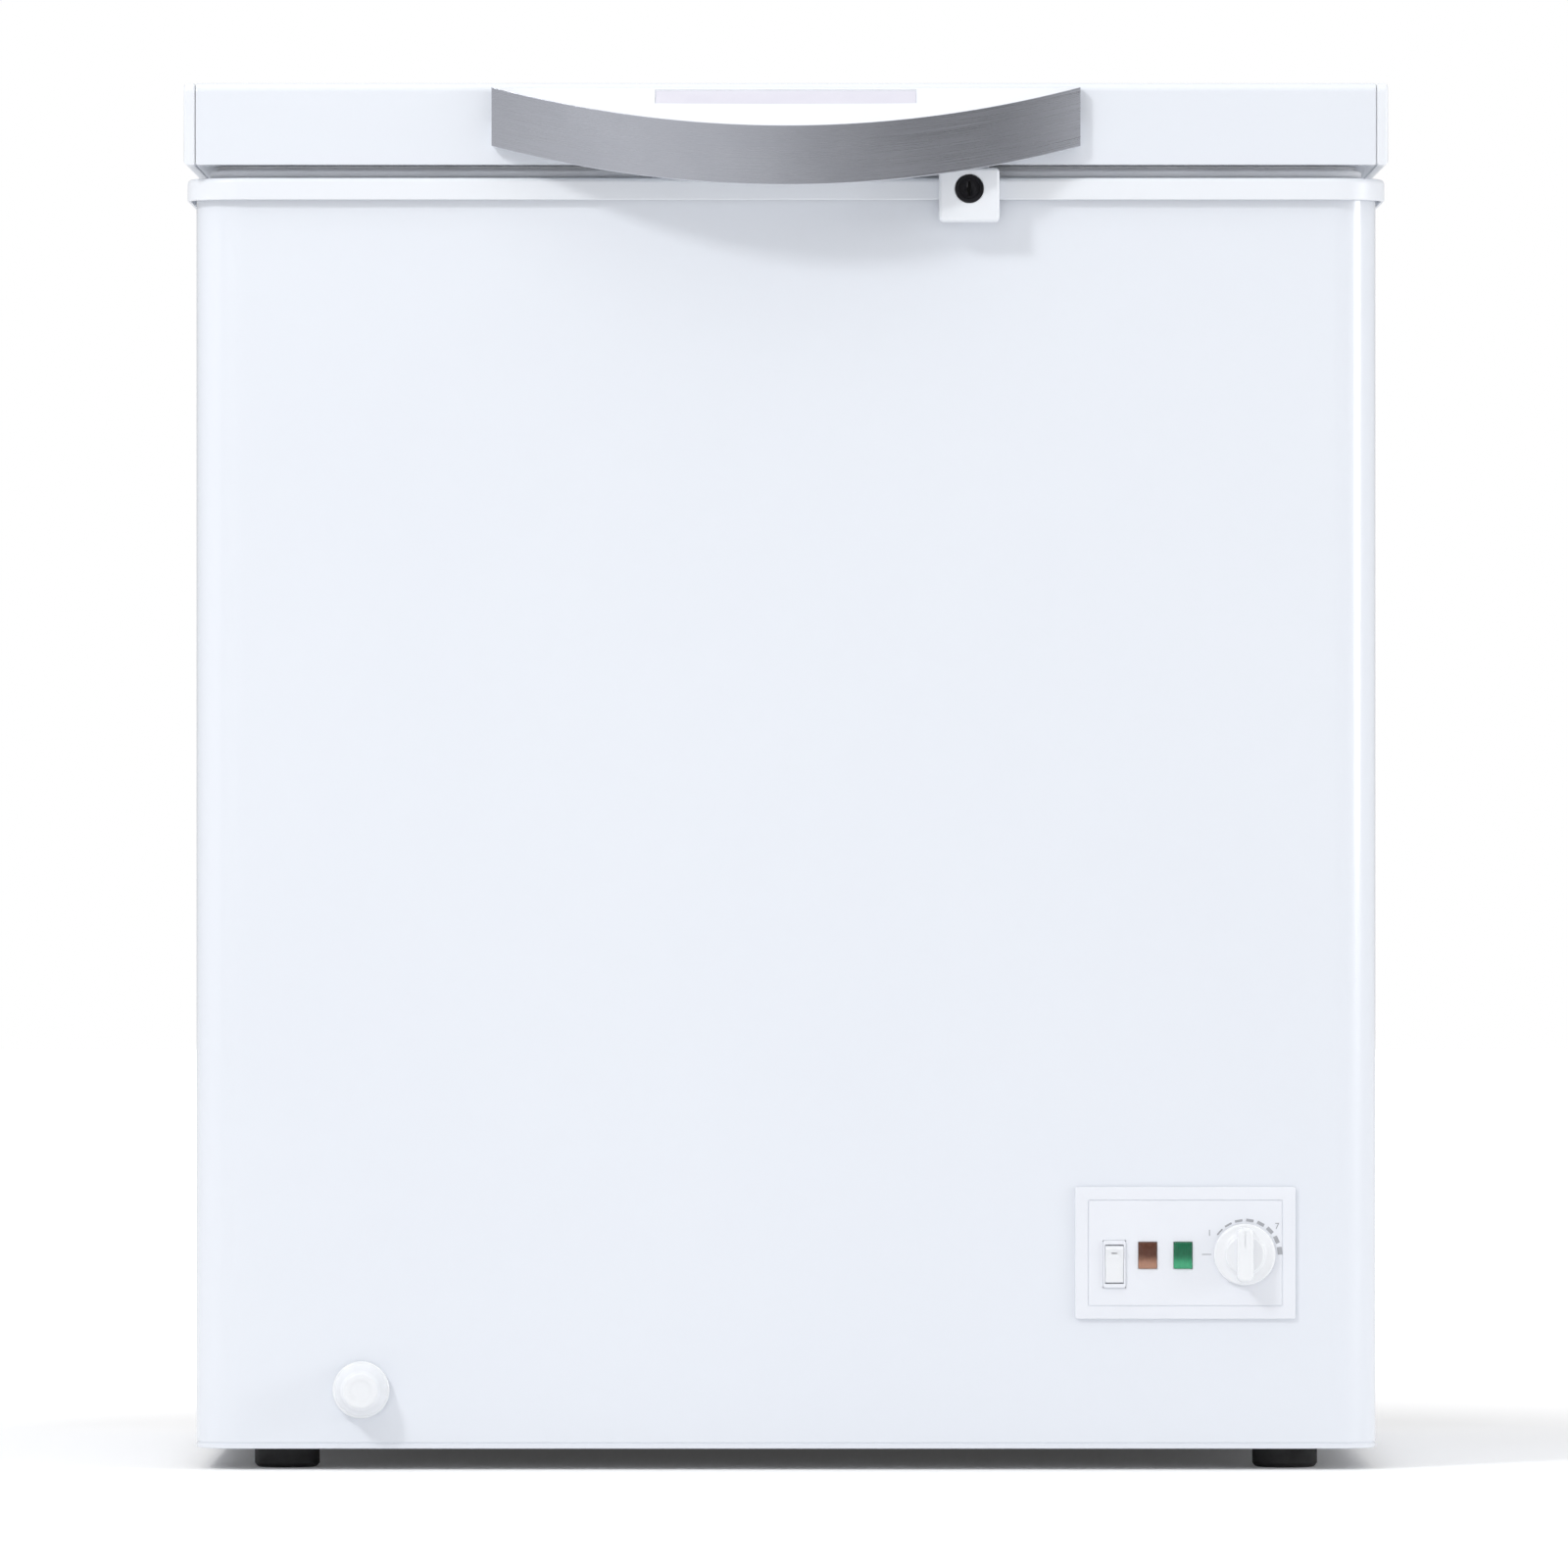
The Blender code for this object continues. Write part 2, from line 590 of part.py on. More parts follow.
def make_compressor(steel, rubber, plastic, copper):
    x, y = COMPRESSOR_X, COMPRESSOR_Y
    rail_z = BASE_TOP + GAP
    reach_x, reach_y = COMPRESSOR_SIZE[0] / 2, COMPRESSOR_SIZE[1] / 2
    low = (BAY_X + 0.010, y - reach_y - 0.015, rail_z)
    high = (HALF_WIDTH - 0.010, y + reach_y + 0.015, rail_z + RAIL_SHEET)
    boxes("compressor_rail", [(low, high)], steel)
    mount_z = rail_z + RAIL_SHEET + GAP
    waist = MOUNT_HEIGHT / 2
    profile = [(MOUNT_RADIUS, 0), (MOUNT_RADIUS * 0.8, waist), (MOUNT_RADIUS, MOUNT_HEIGHT)]
    for number, (side, end) in enumerate(((-1, -1), (1, -1), (1, 1), (-1, 1)), 1):
        place = (x + side * MOUNT_SPREAD[0], y + end * MOUNT_SPREAD[1], mount_z)
        turned(f"rubber_mount_{number}", profile, rubber, sides=16, place=place)
    plate_z = mount_z + MOUNT_HEIGHT + GAP
    can_top = plate_z + COMPRESSOR_SIZE[2]
    levels = [(0.70, 0.001), (0.93, 0.014), (1.00, 0.040), (1.00, 0.072), (1.04, 0.074), (1.04, 0.079),
              (1.00, 0.081), (0.98, 0.120), (0.88, 0.148), (0.62, 0.165)]
    share = COMPRESSOR_SIZE[2] / 0.170 / 1.04
    loops = []
    for grow, up in levels:
        loops.append(oval_loop(reach_x * grow / 1.04, reach_y * grow / 1.04, plate_z + up * share, (x, y), 28))
    loops.append(oval_loop(reach_x * 0.25, reach_y * 0.25, can_top, (x, y), 28))
    can = loft("compressor", loops, steel, smooth=True)
    foot = loft("compressor_feet",
                [plate_loop(MOUNT_SPREAD[0] * 2 + 0.026, MOUNT_SPREAD[1] * 2 + 0.026, 0.010, up, (x, y))
                 for up in (plate_z, plate_z + FOOT_PLATE)], steel)
    combine(can, foot, "UNION")
    cover_y = y - reach_y - 0.001
    low = (x - 0.026, cover_y - 0.036, plate_z + 0.050)
    high = (x + 0.026, cover_y, plate_z + 0.115)
    add_bevel(boxes("relay_cover", [(low, high)], plastic), 0.004)
    tube_x = x - reach_x - 0.010
    tube_z = BAY_TOP - 0.001
    start = (x - reach_x - 0.001, y - 0.010, plate_z + 0.100)
    corners = [start, (tube_x, start[1], start[2]), (tube_x, start[1], tube_z)]
    tube("discharge_tube", bent_points(corners, 0.008), CONDENSER_TUBE, copper, 2)
    start = (x + 0.010, y + reach_y + 0.001, plate_z + 0.090)
    corners = [start, (start[0], start[1] + 0.016, start[2]), (start[0], start[1] + 0.016, tube_z)]
    tube("suction_tube", bent_points(corners, 0.012), EVAPORATOR_TUBE, copper, 2)
    body = 0.011
    profile = [(0.0025, -0.070), (0.0030, -0.058), (body, -0.048), (body, 0.048), (0.0030, 0.058),
               (0.0025, 0.070)]
    turned("filter_drier", profile, copper, sides=20,
           place=(BAY_X + 0.036, COMPRESSOR_Y - 0.125, BASE_TOP + 0.130))


def make_evaporator(look):
    """Tube wound round the outside of the liner."""
    off = LINER_SHEET + EVAPORATOR_GAP / 2
    top = LEDGE_Z - 0.025
    bottom = STEP_Z + 0.030
    steps = 4
    around = 4 * (steps + 1)
    count = EVAPORATOR_TURNS * around
    ring = cavity_loop(off, 0, steps)
    points = []
    for number in range(count + 1):
        corner = ring[number % around]
        points.append((corner.x, corner.y, top + (bottom - top) * number / count))
    tube("evaporator_tube", points, EVAPORATOR_TUBE, look)


def make_condenser(look):
    """Tube laid to and fro on the inside of the two sides and the front."""
    off = -SHELL_SHEET - CONDENSER_GAP / 2
    steps = 4
    ring = cabinet_loop(off, 0, steps)
    front_corners = ring[:2 * (steps + 1)]
    end_y = SHELL_BACK - 0.060
    across = [Vector((front_corners[0].x, end_y, 0))] + front_corners
    across.append(Vector((front_corners[-1].x, end_y, 0)))
    top = TRIM_BOTTOM - 0.055
    bottom = BAY_TOP + 0.060
    points = []
    for row in range(CONDENSER_ROWS):
        z = top + (bottom - top) * row / (CONDENSER_ROWS - 1)
        run = across if row % 2 == 0 else list(reversed(across))
        points += [(point.x, point.y, z) for point in run]
    tube("condenser_tube", points, CONDENSER_TUBE, look)


# ---- control panel, modelled in front view and turned to face the front

def panel_place(offset=(0, 0)):
    return (PANEL_X + offset[0], FRONT_Y, PANEL_Z + offset[1])


def make_control_panel(look):
    frame = 2 * PANEL_FRAME
    groove = 0.0006
    step = 0.0005
    loops = [
        plate_loop(PANEL_WIDTH, PANEL_TALL, 0.0040, GAP),
        plate_loop(PANEL_WIDTH, PANEL_TALL, 0.0040, PANEL_PROUD - 0.0008),
        plate_loop(PANEL_WIDTH - 0.0016, PANEL_TALL - 0.0016, 0.0032, PANEL_PROUD),
        plate_loop(PANEL_WIDTH - frame, PANEL_TALL - frame, 0.0030, PANEL_PROUD),
        plate_loop(PANEL_WIDTH - frame, PANEL_TALL - frame, 0.0030, PANEL_PROUD - step),
        plate_loop(PANEL_WIDTH - frame - groove, PANEL_TALL - frame - groove, 0.0027, PANEL_PROUD - step),
    ]
    panel = loft("control_panel", loops, look, place=panel_place(), turn=FACING_FRONT)
    bm = bmesh.new()
    for centre, size in ((SWITCH_OFFSET, SWITCH_SIZE), (ORANGE_OFFSET, LAMP_SIZE), (GREEN_OFFSET, LAMP_SIZE)):
        half = (size[0] / 2 + GAP, size[1] / 2 + GAP)
        add_box(bm, (centre[0] - half[0], centre[1] - half[1], -0.01),
                (centre[0] + half[0], centre[1] + half[1], 0.01))
    cuts = add_object("panel_cuts", bm, look, place=panel_place(), turn=FACING_FRONT)
    combine(panel, cuts, "DIFFERENCE")
    radius = SPINDLE_RADIUS + 0.0010
    spindle = turned("spindle_hole", [(radius, -0.01), (radius, 0.01)], look, sides=16,
                     place=panel_place(KNOB_OFFSET), turn=FACING_FRONT)
    combine(panel, spindle, "DIFFERENCE")


def make_panel_box(look):
    """Open-fronted box behind the panel that keeps foam and fingers off the wiring."""
    wide = PANEL_WIDTH - 2 * PANEL_BOX_INSET
    tall = PANEL_TALL - 2 * PANEL_BOX_INSET
    wall = 0.003
    loops = [
        plate_loop(wide, tall, 0.0030, -PANEL_BOX_DEPTH),
        plate_loop(wide, tall, 0.0030, 0),
        plate_loop(wide - wall, tall - wall, 0.0015, 0),
        plate_loop(wide - wall, tall - wall, 0.0015, wall / 2 - PANEL_BOX_DEPTH),
    ]
    loft("panel_rear_box", loops, look, place=panel_place(), turn=FACING_FRONT)


def make_switch(housing_look, rocker_look):
    wide, tall = SWITCH_SIZE
    inner_wide = wide - 0.0022
    inner_tall = 2 * (ROCKER_RADIUS + 0.0005)
    loops = [
        plate_loop(wide, tall, 0.0010, -0.0120),
        plate_loop(wide, tall, 0.0010, 0.0040),
        plate_loop(wide - 0.0006, tall - 0.0006, 0.0008, 0.0043),
        plate_loop(inner_wide, inner_tall, 0.0005, 0.0043),
        plate_loop(inner_wide, inner_tall, 0.0005, -0.0065),
    ]
    loft("switch_housing", loops, housing_look, place=panel_place(SWITCH_OFFSET), turn=FACING_FRONT)
    outline = []
    for angle in range(-12, 29, 8):
        outline.append(Vector((math.cos(math.radians(angle)), math.sin(math.radians(angle)))) * ROCKER_RADIUS)
    outline.append(Vector((0, ROCKER_RADIUS * 0.32)))
    for angle in range(152, 193, 8):
        outline.append(Vector((math.cos(math.radians(angle)), math.sin(math.radians(angle)))) * ROCKER_RADIUS)
    half = inner_wide / 2 - GAP
    turn = (FACING_FRONT[0] + ROCKER_TILT, 0, 0)
    prism_along_x("rocker_switch", outline, -half, half, rocker_look,
                  place=panel_place(SWITCH_OFFSET), turn=turn)


def make_lamp(name, offset, look):
    wide, tall = LAMP_SIZE
    loops = [
        plate_loop(wide, tall, 0.0010, -0.0100),
        plate_loop(wide, tall, 0.0010, 0.0036),
        plate_loop(wide - 0.0014, tall - 0.0014, 0.0008, 0.0043),
    ]
    loft(name, loops, look, place=panel_place(offset), turn=FACING_FRONT)


def make_thermostat(body_look, knob_look):
    place = panel_place(KNOB_OFFSET)
    wide, tall, deep = THERMOSTAT_SIZE
    front = -0.0040
    body = boxes("thermostat_body", [((-wide / 2, -tall / 2, front - deep), (wide / 2, tall / 2, front))],
                 body_look, place=place, turn=FACING_FRONT)
    bore = SPINDLE_RADIUS + GAP
    spindle_end = front - 0.0090
    bore_tool = turned("spindle_bore", [(bore, spindle_end - GAP), (bore, 0.01)], body_look, sides=16,
                       place=place, turn=FACING_FRONT)
    combine(body, bore_tool, "DIFFERENCE")
    back = PANEL_PROUD + 0.0004
    profile = [(SPINDLE_RADIUS, spindle_end), (SPINDLE_RADIUS, back), (KNOB_RADIUS, back),
               (KNOB_RADIUS - 0.0003, back + 0.0020), (KNOB_RADIUS - 0.0016, back + 0.0034),
               (KNOB_HUB_RADIUS + 0.0010, back + 0.0044), (KNOB_HUB_RADIUS, back + 0.0074),
               (KNOB_HUB_RADIUS - 0.0015, back + 0.0084)]
    knob = turned("thermostat_knob", profile, knob_look, place=place, turn=FACING_FRONT)
    reach = KNOB_RADIUS - 0.0018
    grip = loft("grip_bar", [plate_loop(0.0105, 2 * reach, 0.0040, back + 0.0022),
                             plate_loop(0.0100, 2 * reach - 0.001, 0.0040, KNOB_PROUD - 0.002),
                             plate_loop(0.0080, 2 * reach - 0.003, 0.0035, KNOB_PROUD)], knob_look,
                place=place, turn=FACING_FRONT)
    combine(knob, grip, "UNION")


# ---- drain

def make_drain(pipe_look, cap_look):
    place = (DRAIN_X, FRONT_Y, DRAIN_Z)
    bore = SPOUT_RADIUS + SPOUT_CLEARANCE
    back = FRONT_Y - DRAIN_Y - 0.010
    pipe = turned("drain_elbow", [(DRAIN_PIPE_RADIUS, back), (DRAIN_PIPE_RADIUS, -SHELL_SHEET - GAP)],
                  pipe_look, sides=20, place=place, turn=FACING_FRONT)
    top = CAVITY_FLOOR - LINER_SHEET - GAP
    riser = turned("drain_riser", [(DRAIN_PIPE_RADIUS - 0.0001, DRAIN_Z), (DRAIN_PIPE_RADIUS - 0.0001, top)],
                   pipe_look, sides=20, place=(DRAIN_X, DRAIN_Y, 0))
    combine(pipe, riser, "UNION")
    inside = turned("drain_bore", [(bore, back + 0.003), (bore, 0.01)], pipe_look, sides=20,
                    place=place, turn=FACING_FRONT)
    combine(pipe, inside, "DIFFERENCE")
    well = turned("riser_bore", [(RISER_BORE, DRAIN_Z), (RISER_BORE, top + 0.01)], pipe_look, sides=20,
                  place=(DRAIN_X, DRAIN_Y, 0))
    combine(pipe, well, "DIFFERENCE")
    tip = CAP_PROUD - 0.004
    profile = [(SPOUT_BORE, tip - SPOUT_LENGTH), (SPOUT_RADIUS, tip - SPOUT_LENGTH), (SPOUT_RADIUS, tip),
               (SPOUT_BORE, tip)]
    turned("drain_spout", profile, pipe_look, closed=True, sides=20, place=place, turn=FACING_FRONT)
    socket = SPOUT_RADIUS + GAP
    profile = [(socket, tip + GAP), (socket, GAP), (CAP_RADIUS - 0.0010, GAP), (CAP_RADIUS, 0.0012),
               (CAP_RADIUS, 0.0045), (CAP_RADIUS - 0.0020, 0.0075), (CAP_FACE_RADIUS + 0.0015, CAP_PROUD - 0.005),
               (CAP_FACE_RADIUS + 0.0002, CAP_PROUD - 0.001), (CAP_FACE_RADIUS - 0.0015, CAP_PROUD)]
    turned("drain_cap", profile, cap_look, sides=36, place=place, turn=FACING_FRONT)
    stem = RISER_BORE - 0.0005
    profile = [(stem - 0.002, -0.0080), (stem, -0.0060), (stem, GAP), (PLUG_HEAD_RADIUS, GAP),
               (PLUG_HEAD_RADIUS, 0.0030), (PLUG_HEAD_RADIUS - 0.0020, 0.0045), (0.0050, 0.0050),
               (0.0040, 0.0100), (0.0030, 0.0110)]
    turned("drain_plug", profile, cap_look, sides=24, place=(DRAIN_X, DRAIN_Y, CAVITY_FLOOR))


# ---- lock

def make_lock(case_look, metal_look):
    place = (LOCK_X, TRIM_FRONT, LOCK_Z)
    half_x = LOCK_WIDTH / 2 - LOCK_WALL
    half_z = LOCK_TALL / 2 - LOCK_WALL
    loops = [
        plate_loop(LOCK_WIDTH, LOCK_TALL, 0.0030, GAP),
        plate_loop(LOCK_WIDTH, LOCK_TALL, 0.0030, LOCK_DEPTH - 0.0015),
        plate_loop(LOCK_WIDTH - 0.0030, LOCK_TALL - 0.0030, 0.0020, LOCK_DEPTH),
    ]
    case = loft("lock_housing", loops, case_look, place=place, turn=FACING_FRONT)
    room = boxes("lock_room", [((-half_x, -half_z, LOCK_WALL + GAP), (half_x, half_z, LOCK_DEPTH - LOCK_WALL))],
                 case_look, place=place, turn=FACING_FRONT)
    combine(case, room, "DIFFERENCE")
    slot_low = (TONGUE_START - 0.001, half_z - 0.001, 0.0028)
    slot_high = (TONGUE_START + TONGUE_WIDTH + 0.001, half_z + 0.01, 0.0094)
    slot = boxes("tongue_slot", [(slot_low, slot_high)], case_look, place=place, turn=FACING_FRONT)
    combine(case, slot, "DIFFERENCE")
    centre = (LOCK_X, TRIM_FRONT, CYLINDER_Z)
    bore = turned("cylinder_bore", [(CYLINDER_RADIUS + GAP, 0.010), (CYLINDER_RADIUS + GAP, 0.03)], case_look,
                  place=centre, turn=FACING_FRONT)
    combine(case, bore, "DIFFERENCE")
    back = 0.0086
    face = LOCK_DEPTH + 0.0005
    profile = [(CYLINDER_RADIUS, back), (CYLINDER_RADIUS, face - 0.0006), (CYLINDER_RADIUS - 0.0006, face),
               (CYLINDER_RADIUS - 0.0022, face), (CYLINDER_RADIUS - 0.0026, face - 0.0008)]
    cylinder = turned("lock_cylinder", profile, metal_look, sides=28, place=centre, turn=FACING_FRONT)
    cam = boxes("lock_cam", [((-CAM_HALF_WIDTH, -CAM_HALF_WIDTH, back - CAM_SHEET),
                              (CAM_HALF_WIDTH, CAM_LENGTH, back + 0.0010))], metal_look,
                place=centre, turn=FACING_FRONT)
    combine(cylinder, cam, "UNION")
    keyway = boxes("keyway", [((-0.0008, -0.0038, face - 0.0050), (0.0008, 0.0038, face + 0.01))], metal_look,
                   place=centre, turn=FACING_FRONT)
    combine(cylinder, keyway, "DIFFERENCE")


def make_lock_strike(look):
    """Tongue on the lid's face; its foot passes under the cam when the key is turned."""
    face = TRIM_FRONT
    plane = face - 0.0035
    foot_low = CYLINDER_Z - CAM_HALF_WIDTH - 0.0007 - 0.0018
    foot_high = CYLINDER_Z - CAM_HALF_WIDTH - 0.0007
    lid_face = LID_FRONT - GAP
    shelf = LID_UNDERSIDE + 0.0055
    top = LID_UNDERSIDE + 0.021
    outline = [
        (face - 0.0082, foot_low),
        (plane, foot_low),
        (plane, shelf),
        (lid_face, shelf),
        (lid_face, top),
        (lid_face - TONGUE_SHEET, top),
        (lid_face - TONGUE_SHEET, shelf + TONGUE_SHEET),
        (plane - TONGUE_SHEET, shelf + TONGUE_SHEET),
        (plane - TONGUE_SHEET, foot_high),
        (face - 0.0082, foot_high),
    ]
    start = LOCK_X + TONGUE_START
    prism_along_x("lock_strike", outline, start, start + TONGUE_WIDTH, look)


# ---- lid

def lid_path(inset, lip, steps=5):
    """(y, z) points of the folded lid skin, from the front lip over the top to the back lip."""
    radius = LID_EDGE_RADIUS
    front = LID_FRONT + radius
    back = LID_BACK - radius
    top = OVERALL_HEIGHT - radius
    points = [(LID_FRONT + lip, LID_UNDERSIDE + inset), (LID_FRONT + inset, LID_UNDERSIDE + inset)]
    for centre, start in ((front, 180), (back, 90)):
        for step in range(steps + 1):
            angle = math.radians(start - 90 * step / steps)
            reach = radius - inset
            points.append((centre + reach * math.cos(angle), top + reach * math.sin(angle)))
    points += [(LID_BACK - inset, LID_UNDERSIDE + inset), (LID_BACK - lip, LID_UNDERSIDE + inset)]
    return points


def make_lid(steel, plastic, foam, rubber):
    lip = 0.012
    half = LID_HALF - LID_END_WIDTH - GAP
    outline = lid_path(0, lip) + list(reversed(lid_path(SHELL_SHEET, lip)))
    prism_along_x("lid_skin", outline, -half, half, steel, smooth=True)
    end_outline = lid_path(0, 0.02)[1:-1]
    prism_along_x("lid_end_left", end_outline, -LID_HALF, -half - GAP, plastic)
    prism_along_x("lid_end_right", end_outline, half + GAP, LID_HALF, plastic)
    inside = SHELL_SHEET + GAP
    core = [(y, max(z, LID_UNDERSIDE + LID_LINER_SHEET + GAP)) for y, z in lid_path(inside, 0.02)[1:-1]]
    prism_along_x("lid_foam", core, -half + GAP, half - GAP, foam)
    make_lid_liner(plastic, lip, half)
    make_gasket(rubber)


def lid_under_loop(inset, radius, z):
    low = (-LID_HALF + inset, LID_FRONT + inset)
    high = (LID_HALF - inset, LID_BACK - inset)
    return rounded_loop(low, high, (radius, radius), z)


def make_lid_liner(look, lip, half):
    """Formed sheet that closes the lid's underside and bulges a little into the cavity."""
    sheet = LID_LINER_SHEET
    low = (-half + GAP, LID_FRONT + lip + GAP)
    high = (half - GAP, LID_BACK - lip - GAP)
    plug = PLUG_CLEARANCE - LEDGE_WIDTH
    draft = 0.010
    bottom = LID_UNDERSIDE - PLUG_DEPTH
    loops = [
        rounded_loop(low, high, (0.004, 0.004), LID_UNDERSIDE + sheet),
        rounded_loop(low, high, (0.004, 0.004), LID_UNDERSIDE),
        cavity_loop(-plug, LID_UNDERSIDE),
        cavity_loop(-plug - draft * 0.6, bottom + 0.004),
        cavity_loop(-plug - draft, bottom),
    ]
    inner = [
        cavity_loop(-plug - draft - sheet, bottom + sheet),
        cavity_loop(-plug - draft * 0.6 - sheet, bottom + 0.004 + sheet * 0.4),
        cavity_loop(-plug - sheet, LID_UNDERSIDE + sheet),
    ]
    tray("lid_liner", loops, inner, look)


def tray(name, outer, inner, look):
    """A dished sheet: the outer loops run from the rim's top down, the inner loops back up."""
    bm = bmesh.new()
    rings = [[bm.verts.new(point) for point in loop] for loop in outer + inner]
    count = len(rings[0])
    first_inner = len(outer)
    for number in range(len(rings)):
        if number == first_inner - 1:
            continue
        lower = rings[number]
        upper = rings[(number + 1) % len(rings)]
        for i in range(count):
            j = (i + 1) % count
            bm.faces.new((lower[i], lower[j], upper[j], upper[i]))
    bm.faces.new(rings[first_inner - 1])
    bm.faces.new(rings[first_inner])
    return add_object(name, bm, look)


def make_gasket(look):
    """Bellows seal round the lid's underside."""
    top = LID_UNDERSIDE - GAP
    bottom = TRIM_TOP + GAP
    waist = 0.0030
    middle = (top + bottom) / 2
    inset = GASKET_INSET
    far = GASKET_INSET + GASKET_WIDTH
    section = [(inset, bottom), (inset, bottom + 0.0018), (inset + waist, middle), (inset, top - 0.0015),
               (inset, top), (far, top), (far, top - 0.0015), (far - waist, middle), (far, bottom + 0.0018),
               (far, bottom)]
    loops = [lid_under_loop(at, CORNER_RADIUS - at * 0.4, z) for at, z in section]
    loft("lid_gasket", loops, look, closed=True, smooth=True)


# ---- handle

def handle_station(share):
    """Reach and top height of the bow at a share (-1 to 1) of its half width."""
    middle = 1 - share * share
    reach = HANDLE_END_REACH + (HANDLE_REACH - HANDLE_END_REACH) * middle
    top = OVERALL_HEIGHT - HANDLE_TOP_INSET - HANDLE_DROP * middle
    return reach, top


def make_handle(plastic, silver):
    back = LID_FRONT - GAP
    shelf_back = OVERALL_HEIGHT - HANDLE_TOP_INSET
    skin = BAND_SHEET + GAP
    wall = HANDLE_WALL
    body = []
    band = []
    for number in range(HANDLE_STATIONS + 1):
        share = 2 * number / HANDLE_STATIONS - 1
        x = share * HANDLE_WIDTH / 2
        reach, top = handle_station(share)
        front = LID_FRONT - reach
        bottom = top - BAND_HEIGHT
        inside = min(front + skin + wall, back - wall - 0.0005)
        section = [
            (back, shelf_back), (front + skin, top), (front + skin, bottom), (inside, bottom),
            (inside, top - wall), (back - wall, shelf_back - wall),
            (back - wall, shelf_back - HANDLE_FLANGE), (back, shelf_back - HANDLE_FLANGE),
        ]
        body.append([Vector((x, y, z)) for y, z in section])
        edge = [(front + BAND_SHEET, top), (front, top), (front, bottom), (front + BAND_SHEET, bottom)]
        band.append([Vector((x, y, z)) for y, z in edge])
    handle = loft("handle_body", body, plastic, smooth=True)
    reach, top = handle_station(1)
    front = LID_FRONT - reach + skin
    outline = [(back, shelf_back), (front, top), (front, top - BAND_HEIGHT), (back, top - BAND_HEIGHT)]
    for name, start in (("handle_end_left", -HANDLE_WIDTH / 2), ("handle_end_right", HANDLE_WIDTH / 2 - wall)):
        combine(handle, prism_along_x(name, outline, start, start + wall, plastic), "UNION")
    loft("handle_band", band, silver, smooth=True)


# ---- hinges

def make_hinge(x, side, steel):
    ears = x - EAR_INSIDE - EAR_SHEET, x + EAR_INSIDE
    plate_top = TRIM_BOTTOM - 0.006
    plate_bottom = plate_top - 0.070
    low = (x - EAR_INSIDE - EAR_SHEET - 0.010, BACK_Y + GAP, plate_bottom)
    high = (x + EAR_INSIDE + EAR_SHEET + 0.010, BACK_Y + GAP + EAR_SHEET, plate_top)
    base = boxes(f"hinge_base_{side}", [(low, high)], steel)
    outline = [(BACK_Y + 0.001, plate_bottom + 0.004), (AXIS_Y + EAR_RADIUS, plate_top - 0.004)]
    for step in range(9):
        angle = math.pi * step / 8
        outline.append((AXIS_Y + EAR_RADIUS * math.cos(angle), AXIS_Z + EAR_RADIUS * math.sin(angle)))
    outline += [(AXIS_Y - EAR_RADIUS, plate_top + 0.001), (BACK_Y + 0.001, plate_top - 0.003)]
    for number, start in enumerate(ears):
        ear = prism_along_x(f"hinge_ear_{side}_{number}", outline, start, start + EAR_SHEET, steel)
        combine(base, ear, "UNION")
    turn = (0, math.pi / 2, 0)
    place = (x, AXIS_Y, AXIS_Z)
    bore = HINGE_PIN_RADIUS + GAP
    reach = EAR_INSIDE + EAR_SHEET
    base_bore = turned(f"hinge_base_bore_{side}", [(bore, -reach - 0.01), (bore, reach + 0.01)], steel,
                       sides=16, place=place, turn=turn)
    combine(base, base_bore, "DIFFERENCE")
    make_hinge_leaf(x, side, steel, base_bore)
    head = reach + GAP
    profile = [(HINGE_PIN_RADIUS, -reach - 0.002), (HINGE_PIN_RADIUS, head), (0.0045, head),
               (0.0040, head + 0.0015)]
    turned(f"hinge_pin_{side}", profile, steel, sides=16, place=place, turn=turn)
    make_hinge_spring(x, side, steel)


def make_hinge_leaf(x, side, steel, bore_tool):
    half = EAR_INSIDE - 0.002
    face = LID_BACK + GAP
    low = (x - half, face, LID_UNDERSIDE + 0.008)
    high = (x + half, face + 0.0025, OVERALL_HEIGHT - 0.008)
    leaf = boxes(f"hinge_leaf_{side}", [(low, high)], steel)
    knuckle = turned(f"hinge_knuckle_{side}", [(KNUCKLE_RADIUS, -KNUCKLE_HALF), (KNUCKLE_RADIUS, KNUCKLE_HALF)],
                     steel, sides=20, place=(x, AXIS_Y, AXIS_Z), turn=(0, math.pi / 2, 0))
    combine(leaf, knuckle, "UNION")
    low = (x - KNUCKLE_HALF + 0.0002, face + 0.0005, AXIS_Z + 0.0036)
    high = (x + KNUCKLE_HALF - 0.0002, AXIS_Y + 0.001, LID_UNDERSIDE + 0.012)
    web = boxes(f"hinge_web_{side}", [(low, high)], steel)
    combine(leaf, web, "UNION")
    combine(leaf, bore_tool, "DIFFERENCE")


def make_hinge_spring(x, side, steel):
    """Coil on the pin, between the knuckle and the inner ear, that balances the lid."""
    start = KNUCKLE_HALF + SPRING_WIRE + 0.0008
    end = EAR_INSIDE - SPRING_WIRE - 0.0008
    radius = HINGE_PIN_RADIUS + SPRING_WIRE + 0.0010
    steps = 10
    count = SPRING_TURNS * steps
    points = []
    for number in range(count + 1):
        angle = 2 * math.pi * number / steps
        along = start + (end - start) * number / count
        points.append((x + along, AXIS_Y + radius * math.cos(angle), AXIS_Z + radius * math.sin(angle)))
    tube(f"hinge_spring_{side}", points, SPRING_WIRE, steel)


# ---- basket

